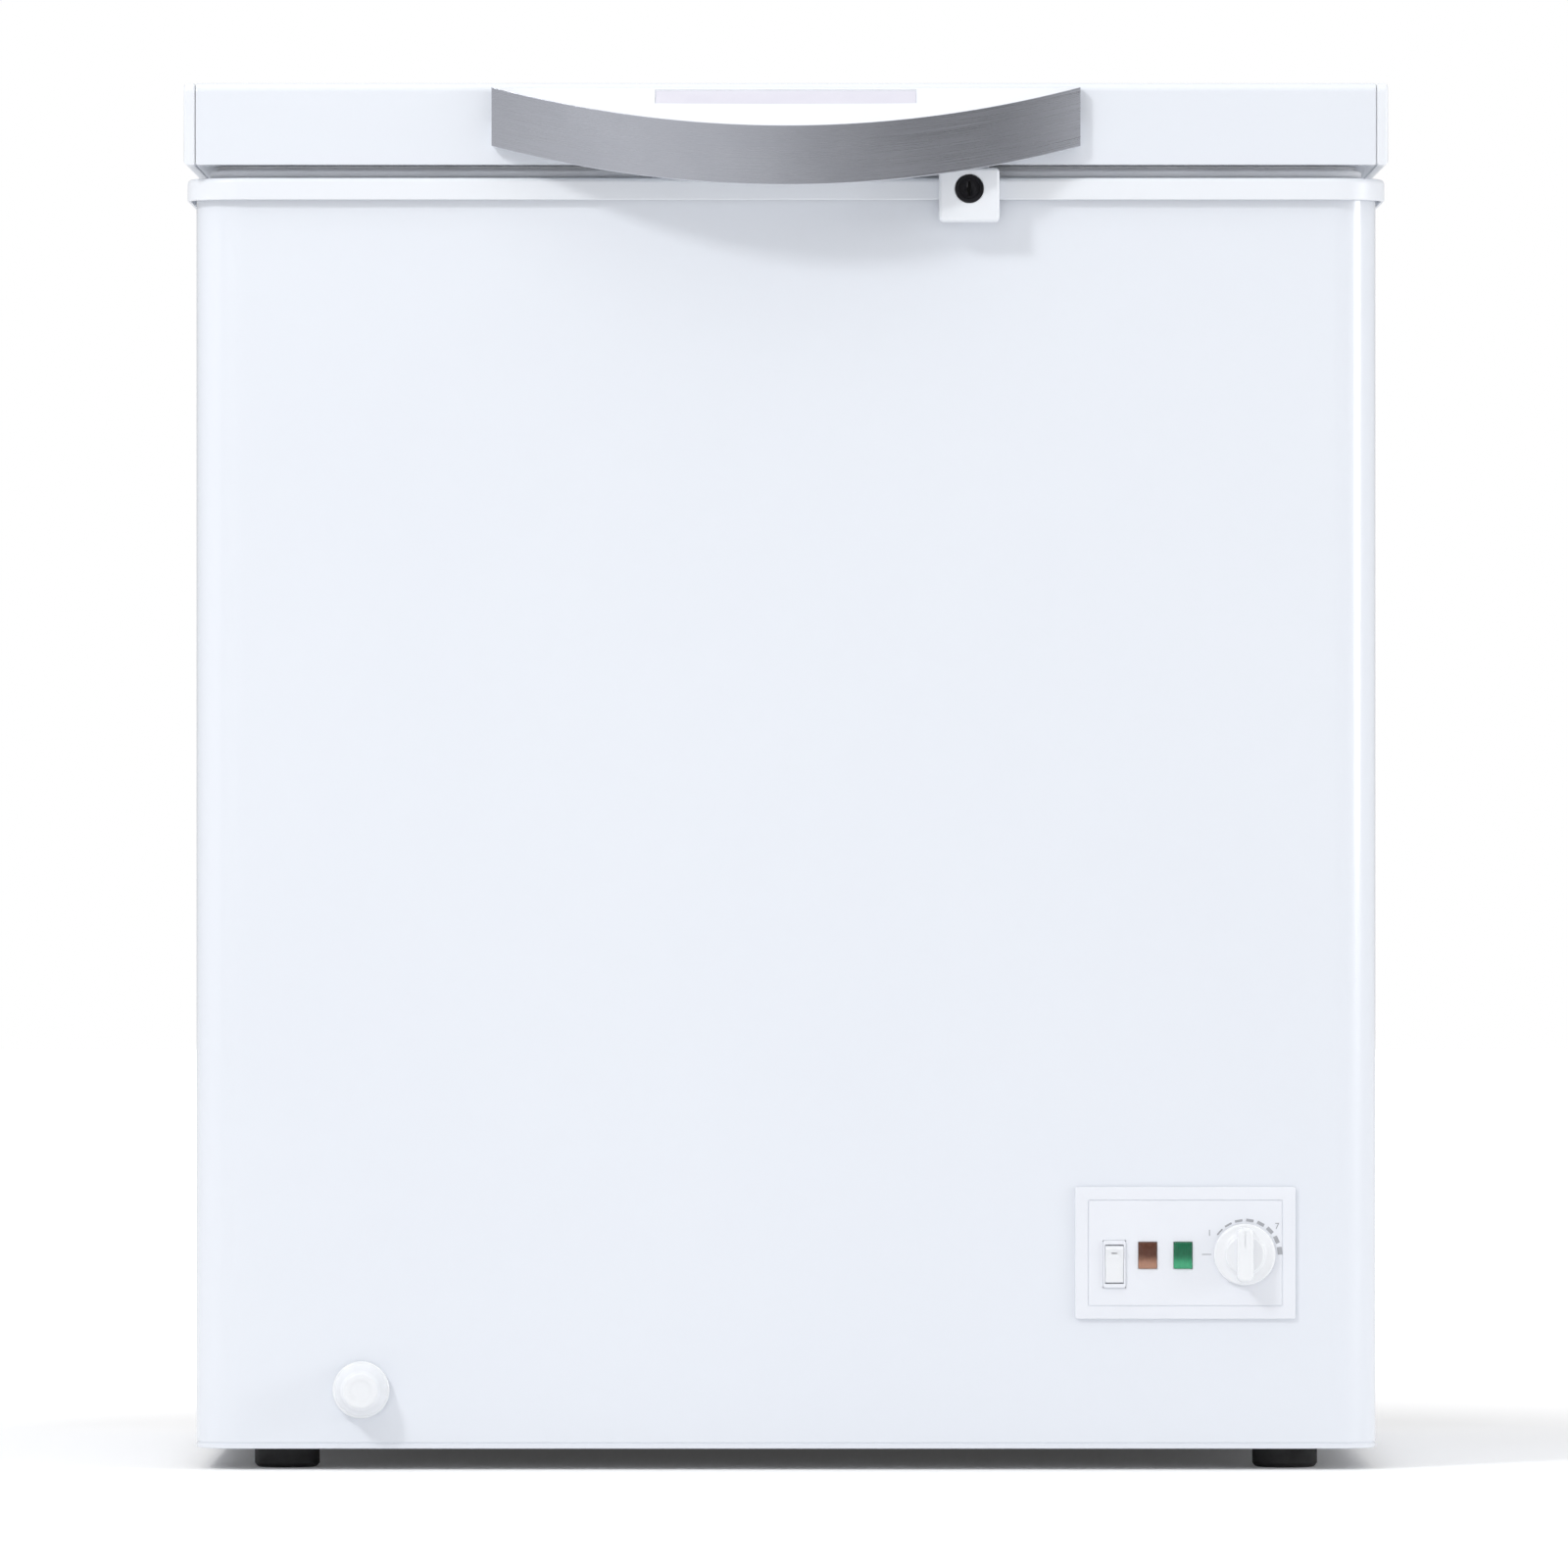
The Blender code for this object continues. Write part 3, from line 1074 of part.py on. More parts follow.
def make_basket(look):
    """Closed outer shape of the hanging wire basket, open at the top."""
    left = -CAVITY_HALF + BASKET_SIDE_GAP
    right = left + BASKET_WIDTH
    clear = 0.004
    front = CAVITY_FRONT + clear
    back = CAVITY_BACK - clear
    hook = clear + LEDGE_WIDTH - 0.003
    rail = 0.004
    seat = LEDGE_Z + GAP
    bottom = seat + rail - BASKET_HEIGHT
    wall = BASKET_WALL
    taper = 0.006

    def level(inset, out, z):
        low = (left + inset, front + inset - out)
        high = (right - inset, back - inset + out)
        return rounded_loop(low, high, (0.012, 0.012), z, 3)

    loops = [
        level(taper, 0, bottom),
        level(0.0005, 0, seat),
        level(0, hook, seat),
        level(0, hook, seat + rail),
        level(wall, 0, seat + rail),
        level(taper + wall, 0, bottom + wall),
    ]
    loft("storage_basket", loops, look)


def build():
    clear_scene()
    white_steel = make_look("white enamelled steel", (0.86, 0.88, 0.92), 0.28)
    white_plastic = make_look("white plastic", (0.90, 0.91, 0.93), 0.38)
    grey_steel = make_look("zinc coated steel", (0.62, 0.63, 0.65), 0.42, 1.0)
    liner_metal = make_look("embossed aluminium", (0.84, 0.85, 0.87), 0.35)
    silver = make_look("brushed silver", (0.52, 0.52, 0.55), 0.34, 1.0)
    foam = make_look("insulating foam", (0.80, 0.72, 0.45), 0.90)
    seal = make_look("grey seal", (0.55, 0.56, 0.58), 0.60)
    rubber = make_look("black rubber", (0.03, 0.03, 0.03), 0.75)
    black_steel = make_look("black painted steel", (0.02, 0.02, 0.02), 0.40)
    dark_plastic = make_look("dark plastic", (0.05, 0.05, 0.06), 0.50)
    copper = make_look("copper tube", (0.72, 0.38, 0.24), 0.35, 1.0)
    orange = make_look("orange lens", (0.60, 0.18, 0.06), 0.20)
    green = make_look("green lens", (0.02, 0.35, 0.15), 0.20)

    make_cabinet_shell(white_steel)
    make_back_panel(grey_steel)
    make_cord_gland(dark_plastic)
    make_base(grey_steel, rubber)
    make_inner_liner(liner_metal)
    make_cabinet_foam(foam)
    make_top_trim(white_plastic)
    make_bay_bulkhead(grey_steel)
    make_side_grille(white_plastic)
    make_compressor(black_steel, rubber, dark_plastic, copper)
    make_evaporator(copper)
    make_condenser(copper)
    make_control_panel(white_plastic)
    make_panel_box(white_plastic)
    make_switch(white_plastic, white_plastic)
    make_lamp("orange_lamp", ORANGE_OFFSET, orange)
    make_lamp("green_lamp", GREEN_OFFSET, green)
    make_thermostat(dark_plastic, white_plastic)
    make_drain(white_plastic, white_plastic)
    make_lock(white_plastic, black_steel)
    make_lock_strike(grey_steel)
    make_lid(white_steel, white_plastic, foam, seal)
    make_handle(white_plastic, silver)
    make_hinge(-HINGE_SPREAD, "left", grey_steel)
    make_hinge(HINGE_SPREAD, "right", grey_steel)
    make_basket(white_plastic)


build()
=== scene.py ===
import json
import math

import bmesh
import bpy
from mathutils import Matrix, Vector


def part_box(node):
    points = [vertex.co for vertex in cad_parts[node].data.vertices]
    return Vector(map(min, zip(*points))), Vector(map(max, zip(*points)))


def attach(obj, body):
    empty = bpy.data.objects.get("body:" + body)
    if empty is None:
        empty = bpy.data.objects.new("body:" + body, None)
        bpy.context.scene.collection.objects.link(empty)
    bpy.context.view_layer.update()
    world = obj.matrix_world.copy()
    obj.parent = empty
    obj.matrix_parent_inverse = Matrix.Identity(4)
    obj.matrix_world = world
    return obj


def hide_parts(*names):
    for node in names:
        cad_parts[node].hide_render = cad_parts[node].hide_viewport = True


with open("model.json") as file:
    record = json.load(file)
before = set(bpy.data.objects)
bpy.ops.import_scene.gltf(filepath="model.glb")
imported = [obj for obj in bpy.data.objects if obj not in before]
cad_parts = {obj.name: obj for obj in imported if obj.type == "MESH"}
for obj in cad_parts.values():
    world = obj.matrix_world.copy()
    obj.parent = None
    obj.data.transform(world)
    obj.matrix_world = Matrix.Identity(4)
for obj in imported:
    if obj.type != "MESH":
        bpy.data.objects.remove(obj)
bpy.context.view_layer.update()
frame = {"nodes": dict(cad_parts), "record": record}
nodes = frame["nodes"]
bodyOf = {node: body for body, members in frame["record"]["behaviour"]["bodies"].items() for node in members}
print("frame loaded with", len(nodes), "parts")


# small helpers for node trees

def setInputs(node, values):
    for key, value in values.items():
        if isinstance(value, bpy.types.NodeSocket):
            node.id_data.links.new(value, node.inputs[key])
        else:
            node.inputs[key].default_value = value
    return node


def addNode(tree, kind, inputs=None, **settings):
    node = tree.nodes.new(kind)
    for key, value in settings.items():
        setattr(node, key, value)
    return setInputs(node, inputs or {})


def shade(tree, kind, inputs=None, **settings):
    return addNode(tree, "ShaderNode" + kind, inputs, **settings).outputs[0]


def grow(tree, kind, inputs=None, **settings):
    return addNode(tree, "GeometryNode" + kind, inputs, **settings).outputs[0]


def vectorOf(tree, *values):
    return shade(tree, "CombineXYZ", {spot: value for spot, value in enumerate(values) if value is not None})


def mathOf(tree, operation, first, second):
    return shade(tree, "Math", {0: first, 1: second}, operation=operation)


def objectPlace(tree):
    return addNode(tree, "ShaderNodeTexCoord").outputs["Object"]


def colourMix(tree, factor, first, second):
    return addNode(tree, "ShaderNodeMix", {0: factor, 6: first, 7: second}, data_type="RGBA").outputs[2]


def noiseOf(tree, place, scale, detail=3.0, rough=0.5, twist=0.0):
    return addNode(tree, "ShaderNodeTexNoise", {
        "Vector": place, "Scale": scale, "Detail": detail, "Roughness": rough,
        "Distortion": twist}).outputs["Fac"]


def spread(tree, source, low, high, start=0.35, end=0.65):
    return shade(tree, "MapRange", {
        "Value": source, "From Min": start, "From Max": end, "To Min": low, "To Max": high})


def bumpOf(tree, height, depth):
    return shade(tree, "Bump", {"Height": height, "Strength": 1.0, "Distance": depth})


def addSockets(tree, direction, sockets):
    # a socket's kind follows from its value; one without a value names its kind instead
    for name, value in sockets.items():
        named = isinstance(value, str)
        kind = value if named else {float: "Float", int: "Int"}.get(type(value))
        kind = kind or ("Color" if len(value) == 4 else "Vector")
        made = tree.interface.new_socket(name=name, in_out=direction, socket_type="NodeSocket" + kind)
        if not named:
            made.default_value = value


def newGroup(name, kind, inputs, outputs, build):
    tree = bpy.data.node_groups.new(name, kind)
    addSockets(tree, "INPUT", inputs)
    addSockets(tree, "OUTPUT", outputs)
    given = tree.nodes.new("NodeGroupInput").outputs
    setInputs(tree.nodes.new("NodeGroupOutput"), build(tree, given))
    return tree


# surface effects, each one built once and used by several finishes

def mottledSkin(group, given):
    # faint cloudy shade, wiped patches in the gloss and a fine orange peel
    place = objectPlace(group)
    cloud = spread(group, noiseOf(group, place, given["Patch scale"], 4.0, 0.55), 0.0, 1.0)
    wiped = noiseOf(group, place, 38.0, 6.0, 0.65, 1.2)
    return {"Colour": colourMix(group, cloud, given["Colour"], given["Second colour"]),
            "Roughness": spread(group, wiped, given["Roughness low"], given["Roughness high"]),
            "Height": noiseOf(group, place, given["Grain scale"], 2.0)}


def brushedSkin(group, given):
    # fine scratches that run along the first axis of the given place
    stretch = vectorOf(group, given["Along"], given["Across"], given["Across"])
    place = shade(group, "VectorMath", {0: given["Run"], 1: stretch}, operation="MULTIPLY")
    scratches = noiseOf(group, place, 1.0, 5.0, 0.7)
    clouds = noiseOf(group, given["Run"], 26.0, 3.0)
    share = mathOf(group, "ADD", spread(group, scratches, 0.0, 0.75), spread(group, clouds, 0.0, 0.25))
    return {"Colour": colourMix(group, share, given["Colour"], given["Second colour"]),
            "Roughness": spread(group, scratches, given["Roughness low"], given["Roughness high"]),
            "Height": scratches}


def stuccoSkin(group, given):
    # pressed pebbles of a stucco embossed sheet; the colour is darker in the hollows between the pebbles, painted
    # shade
    place = objectPlace(group)
    wander = addNode(group, "ShaderNodeTexNoise", {"Vector": place, "Scale": 90.0}).outputs["Color"]
    wander = shade(group, "VectorMath", {0: wander, 3: 0.006}, operation="SCALE")
    bent = shade(group, "VectorMath", {0: place, 1: wander}, operation="ADD")
    cells = shade(group, "TexVoronoi", {"Vector": bent, "Scale": given["Pebble scale"]}, feature="SMOOTH_F1")
    pebbles = spread(group, cells, 1.0, 0.0, 0.1, 0.75)
    gloss = noiseOf(group, place, 14.0)
    # painted shade: the second colour fills the hollows between the pebbles, the first their tops
    return {"Colour": colourMix(group, pebbles, given["Second colour"], given["Colour"]),
            "Roughness": spread(group, gloss, given["Roughness low"], given["Roughness high"]),
            "Height": pebbles}


def spangleSkin(group, given):
    # crystal flakes of a zinc coat, or the cells of a foam
    place = objectPlace(group)
    flakes = addNode(group, "ShaderNodeTexVoronoi", {"Vector": place, "Scale": given["Flake scale"]})
    tone = shade(group, "SeparateColor", {0: flakes.outputs["Color"]})
    blurred = mathOf(group, "ADD", mathOf(group, "MULTIPLY", tone, 0.6),
                     mathOf(group, "MULTIPLY", noiseOf(group, place, 30.0), 0.4))
    return {"Colour": colourMix(group, blurred, given["Colour"], given["Second colour"]),
            "Roughness": spread(group, tone, given["Roughness low"], given["Roughness high"], 0.0, 1.0),
            "Height": flakes.outputs["Distance"]}


skinInputs = {"Colour": (0.8, 0.8, 0.8, 1), "Second colour": (0.7, 0.7, 0.7, 1),
              "Roughness low": 0.25, "Roughness high": 0.35}
skinOutputs = {"Colour": "Color", "Roughness": "Float", "Height": "Float"}
skinSizes = {"mottled": {"Patch scale": 6.0, "Grain scale": 900.0}, "stucco": {"Pebble scale": 190.0},
             "brushed": {"Along": 9.0, "Across": 2600.0}, "spangle": {"Flake scale": 120.0}}
skins = {}
for kind, build in (("mottled", mottledSkin), ("brushed", brushedSkin), ("stucco", stuccoSkin),
                    ("spangle", spangleSkin)):
    run = {"Run": (0, 0, 0)} if kind == "brushed" else {}
    skins[kind] = newGroup(kind + "Skin", "ShaderNodeTree", {**skinInputs, **run, **skinSizes[kind]},
                           skinOutputs, build)

# colour and second colour are linear; rough is the low and high roughness; relief is the bump depth in
# metres; sizes follow the skin's own order in skinSizes, and a finish is mottled unless it says otherwise
finishes = {
    "enamel": {"slot": "white_steel", "colour": (0.795, 0.828, 0.888), "second": (0.785, 0.818, 0.880),
               "rough": (0.20, 0.23), "relief": 0.00002, "sizes": (3.0, 700.0), "coat": 0.35},
    "whiteMoulding": {"slot": "white_plastic", "colour": (0.835, 0.862, 0.905), "second": (0.815, 0.842, 0.890),
                      "rough": (0.30, 0.38), "relief": 0.00003, "sizes": (9.0, 1900.0)},
    "panelMoulding": {"slot": "white_plastic", "colour": (0.830, 0.852, 0.905), "second": (0.812, 0.835, 0.890),
                      "rough": (0.34, 0.44), "relief": 0.00005, "sizes": (14.0, 2600.0)},
    "knobMoulding": {"slot": "white_plastic", "colour": (0.865, 0.880, 0.905), "second": (0.845, 0.862, 0.890),
                     "rough": (0.20, 0.28), "relief": 0.00001, "sizes": (20.0, 1500.0)},
    # painted shade: the recess inlay's darker lilac-grey colour stands for the shade in the name recess
    "shelfInlay": {"slot": "white_plastic", "colour": (0.700, 0.690, 0.770), "second": (0.665, 0.655, 0.740),
                   "rough": (0.28, 0.36), "relief": 0.00002, "sizes": (30.0, 2400.0)},
    "silverBand": {"slot": "silver_band", "skin": "brushed", "colour": (0.555, 0.570, 0.625), "metal": 1.0,
                   "second": (0.450, 0.465, 0.520), "rough": (0.24, 0.36), "relief": 0.000012,
                   "sizes": (9.0, 2600.0)},
    "zincSheet": {"slot": "zinc_steel", "skin": "spangle", "colour": (0.66, 0.67, 0.69), "metal": 1.0,
                  "second": (0.57, 0.58, 0.60), "rough": (0.32, 0.42), "relief": 0.000008, "sizes": (110.0,)},
    "springWire": {"slot": "zinc_steel", "colour": (0.50, 0.50, 0.50), "second": (0.36, 0.36, 0.37),
                   "rough": (0.25, 0.38), "relief": 0.00001, "metal": 1.0, "sizes": (160.0, 2600.0)},
    # the liner's second colour is painted shade in the hollows between the stucco pebbles
    "linerSheet": {"slot": "liner_metal", "skin": "stucco", "colour": (0.91, 0.915, 0.925), "metal": 1.0,
                   "second": (0.80, 0.805, 0.82), "rough": (0.30, 0.42), "relief": 0.00016, "sizes": (190.0,)},
    "insulation": {"slot": "foam", "skin": "spangle", "colour": (0.80, 0.69, 0.40),
                   "second": (0.66, 0.54, 0.28), "rough": (0.85, 0.95), "relief": 0.0004, "sizes": (700.0,)},
    "sealRubber": {"slot": "gasket_rubber", "colour": (0.87, 0.88, 0.91), "second": (0.82, 0.83, 0.86),
                   "rough": (0.50, 0.62), "relief": 0.00004, "sizes": (25.0, 1600.0)},
    "blackRubber": {"slot": "black_rubber", "colour": (0.022, 0.022, 0.023), "second": (0.040, 0.039, 0.038),
                    "rough": (0.62, 0.80), "relief": 0.0001, "sizes": (40.0, 1200.0)},
    "blackSteel": {"slot": "black_steel", "colour": (0.016, 0.016, 0.018), "second": (0.026, 0.026, 0.028),
                   "rough": (0.26, 0.36), "relief": 0.00006, "sizes": (20.0, 620.0)},
    "lockMetal": {"slot": "black_steel", "colour": (0.004, 0.004, 0.006), "second": (0.010, 0.010, 0.013),
                  "rough": (0.26, 0.38), "relief": 0.00001, "gloss": 0.2, "sizes": (120.0, 2600.0)},
    "darkMoulding": {"slot": "dark_plastic", "colour": (0.030, 0.030, 0.035), "second": (0.046, 0.046, 0.052),
                     "rough": (0.42, 0.54), "relief": 0.00006, "sizes": (22.0, 1800.0)},
    "copperTube": {"slot": "copper", "colour": (0.74, 0.37, 0.22), "second": (0.42, 0.20, 0.12),
                   "rough": (0.24, 0.42), "relief": 0.00001, "metal": 1.0, "sizes": (45.0, 1500.0)},
    "coatedWire": {"slot": "coated_wire", "colour": (0.83, 0.845, 0.87), "second": (0.79, 0.805, 0.835),
                   "rough": (0.26, 0.34), "relief": 0.00003, "sizes": (18.0, 1100.0)},
    "printInk": {"slot": "dark_plastic", "colour": (0.36, 0.37, 0.40), "second": (0.42, 0.43, 0.46),
                 "rough": (0.45, 0.55), "relief": 0.000005, "sizes": (400.0, 3200.0)},
}


def newMaterial(name):
    material = bpy.data.materials.new(name)
    material.use_nodes = True
    return material, material.node_tree, material.node_tree.nodes["Principled BSDF"]


def buildFinish(name, values):
    material, tree, shader = newMaterial(name)
    kind = values.get("skin", "mottled")
    skin = addNode(tree, "ShaderNodeGroup", node_tree=skins[kind])
    setInputs(skin, {"Colour": (*values["colour"], 1), "Second colour": (*values["second"], 1),
                     "Roughness low": values["rough"][0], "Roughness high": values["rough"][1],
                     **dict(zip(skinSizes[kind], values["sizes"]))})
    if kind == "brushed":
        setInputs(skin, {"Run": shade(tree, "UVMap", uv_map="run")})
    bump = bumpOf(tree, skin.outputs["Height"], values["relief"])
    setInputs(shader, {
        "Base Color": skin.outputs["Colour"], "Roughness": skin.outputs["Roughness"], "Normal": bump,
        "Metallic": values.get("metal", 0.0), "Coat Weight": values.get("coat", 0.0), "Coat Roughness": 0.08,
        "Specular IOR Level": values.get("gloss", 0.5)})
    return material


# a lens's colour holds painted light and shade: painted shade (deep) at the top, where it looks into its
# holder, and painted light (lit) at the foot, where light falls through it; dark and bright are the shares
# of its height where the painted shade and the painted light begin
lenses = {
    "orangeLens": {"slot": "orange_lens", "deep": (0.095, 0.032, 0.018), "lit": (0.41, 0.215, 0.145)},
    "greenLens": {"slot": "green_lens", "deep": (0.006, 0.125, 0.058), "lit": (0.050, 0.37, 0.185)},
}
lensShade = {"bright": 0.12, "dark": 0.56, "ribs": 260.0, "ribDepth": 0.00006}


def buildLens(name, values, node):
    material, tree, shader = newMaterial(name)
    low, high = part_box(node)
    tall = high.z - low.z
    place = objectPlace(tree)
    height = addNode(tree, "ShaderNodeSeparateXYZ", {0: place}).outputs[2]
    ribs = addNode(tree, "ShaderNodeTexWave", {"Vector": place, "Scale": lensShade["ribs"]},
                   bands_direction="X")
    start, end = (low.z + tall * lensShade[key] for key in ("bright", "dark"))
    # painted shade at the top of the lens fades into painted light at its foot
    fall = shade(tree, "MapRange", {"Value": height, "From Min": start, "From Max": end, "To Min": 1.0,
                                    "To Max": 0.0}, interpolation_type="SMOOTHSTEP")
    share = mathOf(tree, "ADD", fall, spread(tree, noiseOf(tree, place, 420.0), -0.06, 0.06))
    bump = bumpOf(tree, ribs.outputs["Fac"], lensShade["ribDepth"])
    setInputs(shader, {
        "Base Color": colourMix(tree, share, (*values["deep"], 1), (*values["lit"], 1)), "Normal": bump,
        "Roughness": 0.16, "Specular IOR Level": 0.35, "Coat Weight": 0.15, "Coat Roughness": 0.05})
    return material


materials = {name: buildFinish(name, values) for name, values in finishes.items()}
for lens, node in (("orangeLens", "orange_lamp"), ("greenLens", "green_lamp")):
    materials[lens] = buildLens(lens, lenses[lens], node)
print("finishes made:", len(materials))


# mesh helpers

def linked(name, data):
    obj = bpy.data.objects.new(name, data)
    bpy.context.scene.collection.objects.link(obj)
    return obj


def evaluated(obj, **settings):
    bpy.context.view_layer.update()
    graph = bpy.context.evaluated_depsgraph_get()
    return bpy.data.meshes.new_from_object(obj.evaluated_get(graph), depsgraph=graph, **settings)


def smooth(mesh, sharp):
    mesh.shade_smooth()
    mesh.set_sharp_from_angle(angle=math.radians(sharp))


def newObject(name, mesh, finish):
    obj = linked(name, mesh)
    mesh.materials.clear()
    mesh.materials.append(materials[finish])
    obj["finish"] = finish
    return obj


def makeObject(name, bm, finish, matrix=None, sharp=32):
    bmesh.ops.remove_doubles(bm, verts=bm.verts, dist=1e-6)
    bmesh.ops.recalc_face_normals(bm, faces=bm.faces)
    mesh = bpy.data.meshes.new(name)
    bm.to_mesh(mesh)
    bm.free()
    if matrix is not None:
        mesh.transform(matrix)
    smooth(mesh, sharp)
    return newObject(name, mesh, finish)


def settle(obj):
    # applies what modifiers the object has
    made = evaluated(obj, preserve_all_data_layers=True)
    obj.modifiers.clear()
    obj.data = made
    return obj


def softenEdges(obj, width, segments=3, angle=35):
    bevel = obj.modifiers.new("edge", "BEVEL")
    bevel.width = width
    bevel.segments = segments
    bevel.limit_method = "ANGLE"
    bevel.angle_limit = math.radians(angle)
    bevel.harden_normals = True
    return settle(obj)


def cutAway(obj, *tools):
    for tool in tools:
        boolean = obj.modifiers.new("cut", "BOOLEAN")
        boolean.operation = "DIFFERENCE"
        boolean.solver = "EXACT"
        boolean.object = tool
    settle(obj)
    for tool in tools:
        bpy.data.objects.remove(tool)
    return obj


def joinMeshes(obj, *others):
    bm = bmesh.new()
    for part in (obj, *others):
        bm.from_mesh(part.data)
    bm.to_mesh(obj.data)
    bm.free()
    for part in others:
        bpy.data.objects.remove(part)
    return obj


def setPiece(obj, body, *replaced):
    # wide flat faces keep flat shading beside their rounded edges
    even = obj.modifiers.new("even", "WEIGHTED_NORMAL")
    even.keep_sharp = True
    settle(obj)
    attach(obj, body)
    if replaced:
        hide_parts(*replaced)
    del obj["finish"]
    return obj


def circlePoint(radius, degrees):
    return radius * math.cos(math.radians(degrees)), radius * math.sin(math.radians(degrees))


def roundedLoop(low, high, radii, z, steps=14):
    # anticlockwise points of a rounded rectangle; radii are front and back
    smallest = min(high[0] - low[0], high[1] - low[1]) / 2 - 0.00005
    front, back = (min(max(radius, 0.0002), smallest) for radius in radii)
    corners = [(low[0] + front, low[1] + front, front, 180), (high[0] - front, low[1] + front, front, 270),
               (high[0] - back, high[1] - back, back, 0), (low[0] + back, high[1] - back, back, 90)]
    points = []
    for x, y, radius, start in corners:
        for step in range(steps + 1):
            right, up = circlePoint(radius, start + 90 * step / steps)
            points.append(Vector((x + right, y + up, z)))
    return points


def plateLoop(width, tall, radius, z, centre=(0, 0), steps=6):
    low = (centre[0] - width / 2, centre[1] - tall / 2)
    high = (centre[0] + width / 2, centre[1] + tall / 2)
    return roundedLoop(low, high, (radius, radius), z, steps)


def plateStack(wide, tall, rows, steps=6):
    # rounded plates one above the other, each row with its inset from the outline, corner radius and height
    return [plateLoop(wide - 2 * inset, tall - 2 * inset, radius, z, steps=steps) for inset, radius, z in rows]


def ovalLoop(radius, z, centre=(0, 0), sides=64):
    return [Vector((centre[0] + radius * math.cos(2 * math.pi * step / sides),
                    centre[1] + radius * math.sin(2 * math.pi * step / sides), z)) for step in range(sides)]


def ringOf(bm, points):
    return [bm.verts.new(point) for point in points]


def stitch(bm, first, second):
    for i in range(len(first)):
        j = (i + 1) % len(first)
        bm.faces.new((first[i], first[j], second[j], second[i]))


def loft(name, loops, finish, closed=False, matrix=None, sharp=32):
    # skins rings with equal point counts; an open row gets a cap at both ends
    bm = bmesh.new()
    rings = [ringOf(bm, loop) for loop in loops]
    pairs = list(zip(rings, rings[1:]))
    if closed:
        pairs.append((rings[-1], rings[0]))
    else:
        bm.faces.new(list(reversed(rings[0])))
        bm.faces.new(rings[-1])
    for lower, upper in pairs:
        stitch(bm, lower, upper)
    return makeObject(name, bm, finish, matrix, sharp)


def turned(name, profile, finish, sides=64, matrix=None, sharp=32):
    return loft(name, [ovalLoop(radius, height, sides=sides) for radius, height in profile],
                finish, matrix=matrix, sharp=sharp)


def boxTool(low, high, matrix=None):
    low, high = Vector(low), Vector(high)
    bm = bmesh.new()
    for corner in bmesh.ops.create_cube(bm, size=1.0)["verts"]:
        share = corner.co + Vector((0.5, 0.5, 0.5))
        corner.co = Vector([low[i] + share[i] * (high[i] - low[i]) for i in range(3)])
    return makeObject("tool", bm, "whiteMoulding", matrix)


cutReach = 0.01           # how far a cutting tool stands past the sheet on each side


def roundTool(radius, matrix, sides):
    return turned("tool", [(radius, -cutReach), (radius, cutReach)], "whiteMoulding", sides, matrix)


def frontTool(node, gap):
    # cuts the front open round a part, with a gap at every side
    low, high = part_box(node)
    return boxTool((low.x - gap, frontY - cutReach, low.z - gap),
                   (high.x + gap, frontY + cutReach, high.z + gap))


def frontPlace(x, y, z):
    # local x is to the right, local y is up, local z comes out of the front
    return Matrix.Translation((x, y, z)) @ quarterTurn("X")


def middle(node):
    # x and z of a part's centre
    low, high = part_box(node)
    return (low.x + high.x) / 2, (low.z + high.z) / 2


def frontBox(node, plane):
    # width, height and reach of a part on the front, and its place on that plane
    low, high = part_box(node)
    x, z = middle(node)
    return high.x - low.x, high.z - low.z, plane - low.y, frontPlace(x, plane, z)


def quarterTurn(axis):
    return Matrix.Rotation(math.pi / 2, 4, axis)


def sidePlace(x, y, z):
    # local x is to the back, local y is up, local z comes out of the right side
    return Matrix.Translation((x, y, z)) @ quarterTurn("Z") @ quarterTurn("X")


def roundedEdge(radius, start, end, count=5):
    # insets and rises along a round between two directions in degrees
    turns = [circlePoint(radius, start + (end - start) * i / count) for i in range(count + 1)]
    return [(radius - across, rise) for across, rise in turns]


# geometry node helpers

def geometryTree(name, inputs, build, takesGeometry=False, flat=False):
    source = {"Geometry": "Geometry"} if takesGeometry else {}

    def finished(tree, given):
        made = grow(tree, "RealizeInstances", {0: build(tree, given)})
        made = grow(tree, "SetShadeSmooth", {"Geometry": made, "Shade Smooth": not flat})
        return {0: grow(tree, "SetMaterial", {"Geometry": made, "Material": given["Material"]})}

    return newGroup(name, "GeometryNodeTree", {**source, **inputs, "Material": "Material"},
                    {"Geometry": "Geometry"}, finished)


def growTree(name, tree, values, finish, source=None, matrix=None, sharp=None):
    # runs a tree on a base mesh and keeps the result as a plain mesh
    base = linked(name + ".base", source or bpy.data.meshes.new(name + ".base"))
    modifier = base.modifiers.new("grow", "NODES")
    modifier.node_group = tree
    for item in tree.interface.items_tree:
        if item.item_type == "SOCKET" and item.in_out == "INPUT":
            if item.name == "Material":
                modifier[item.identifier] = materials[finish]
            elif item.name in values:
                modifier[item.identifier] = values[item.name]
    mesh = evaluated(base)
    bpy.data.objects.remove(base)
    mesh.name = name
    if matrix is not None:
        mesh.transform(matrix)
    if sharp:
        smooth(mesh, sharp)
    return newObject(name, mesh, finish)


def sweep(tree, path, radius, sides):
    ring = grow(tree, "CurvePrimitiveCircle", {"Resolution": sides, "Radius": radius})
    return grow(tree, "CurveToMesh", {"Curve": path, "Profile Curve": ring, "Fill Caps": True})


def bend(tree, edges, steps, radius):
    path = grow(tree, "MeshToCurve", {0: edges})
    return grow(tree, "FilletCurve", {"Curve": path, "Count": steps, "Radius": radius, "Limit Radius": True},
                mode="POLY")


def wirePathTree(tree, given):
    # a round wire with bent corners along every chain of edges
    path = bend(tree, given["Geometry"], given["Bend steps"], given["Bend radius"])
    return sweep(tree, path, given["Wire radius"], given["Sides"])


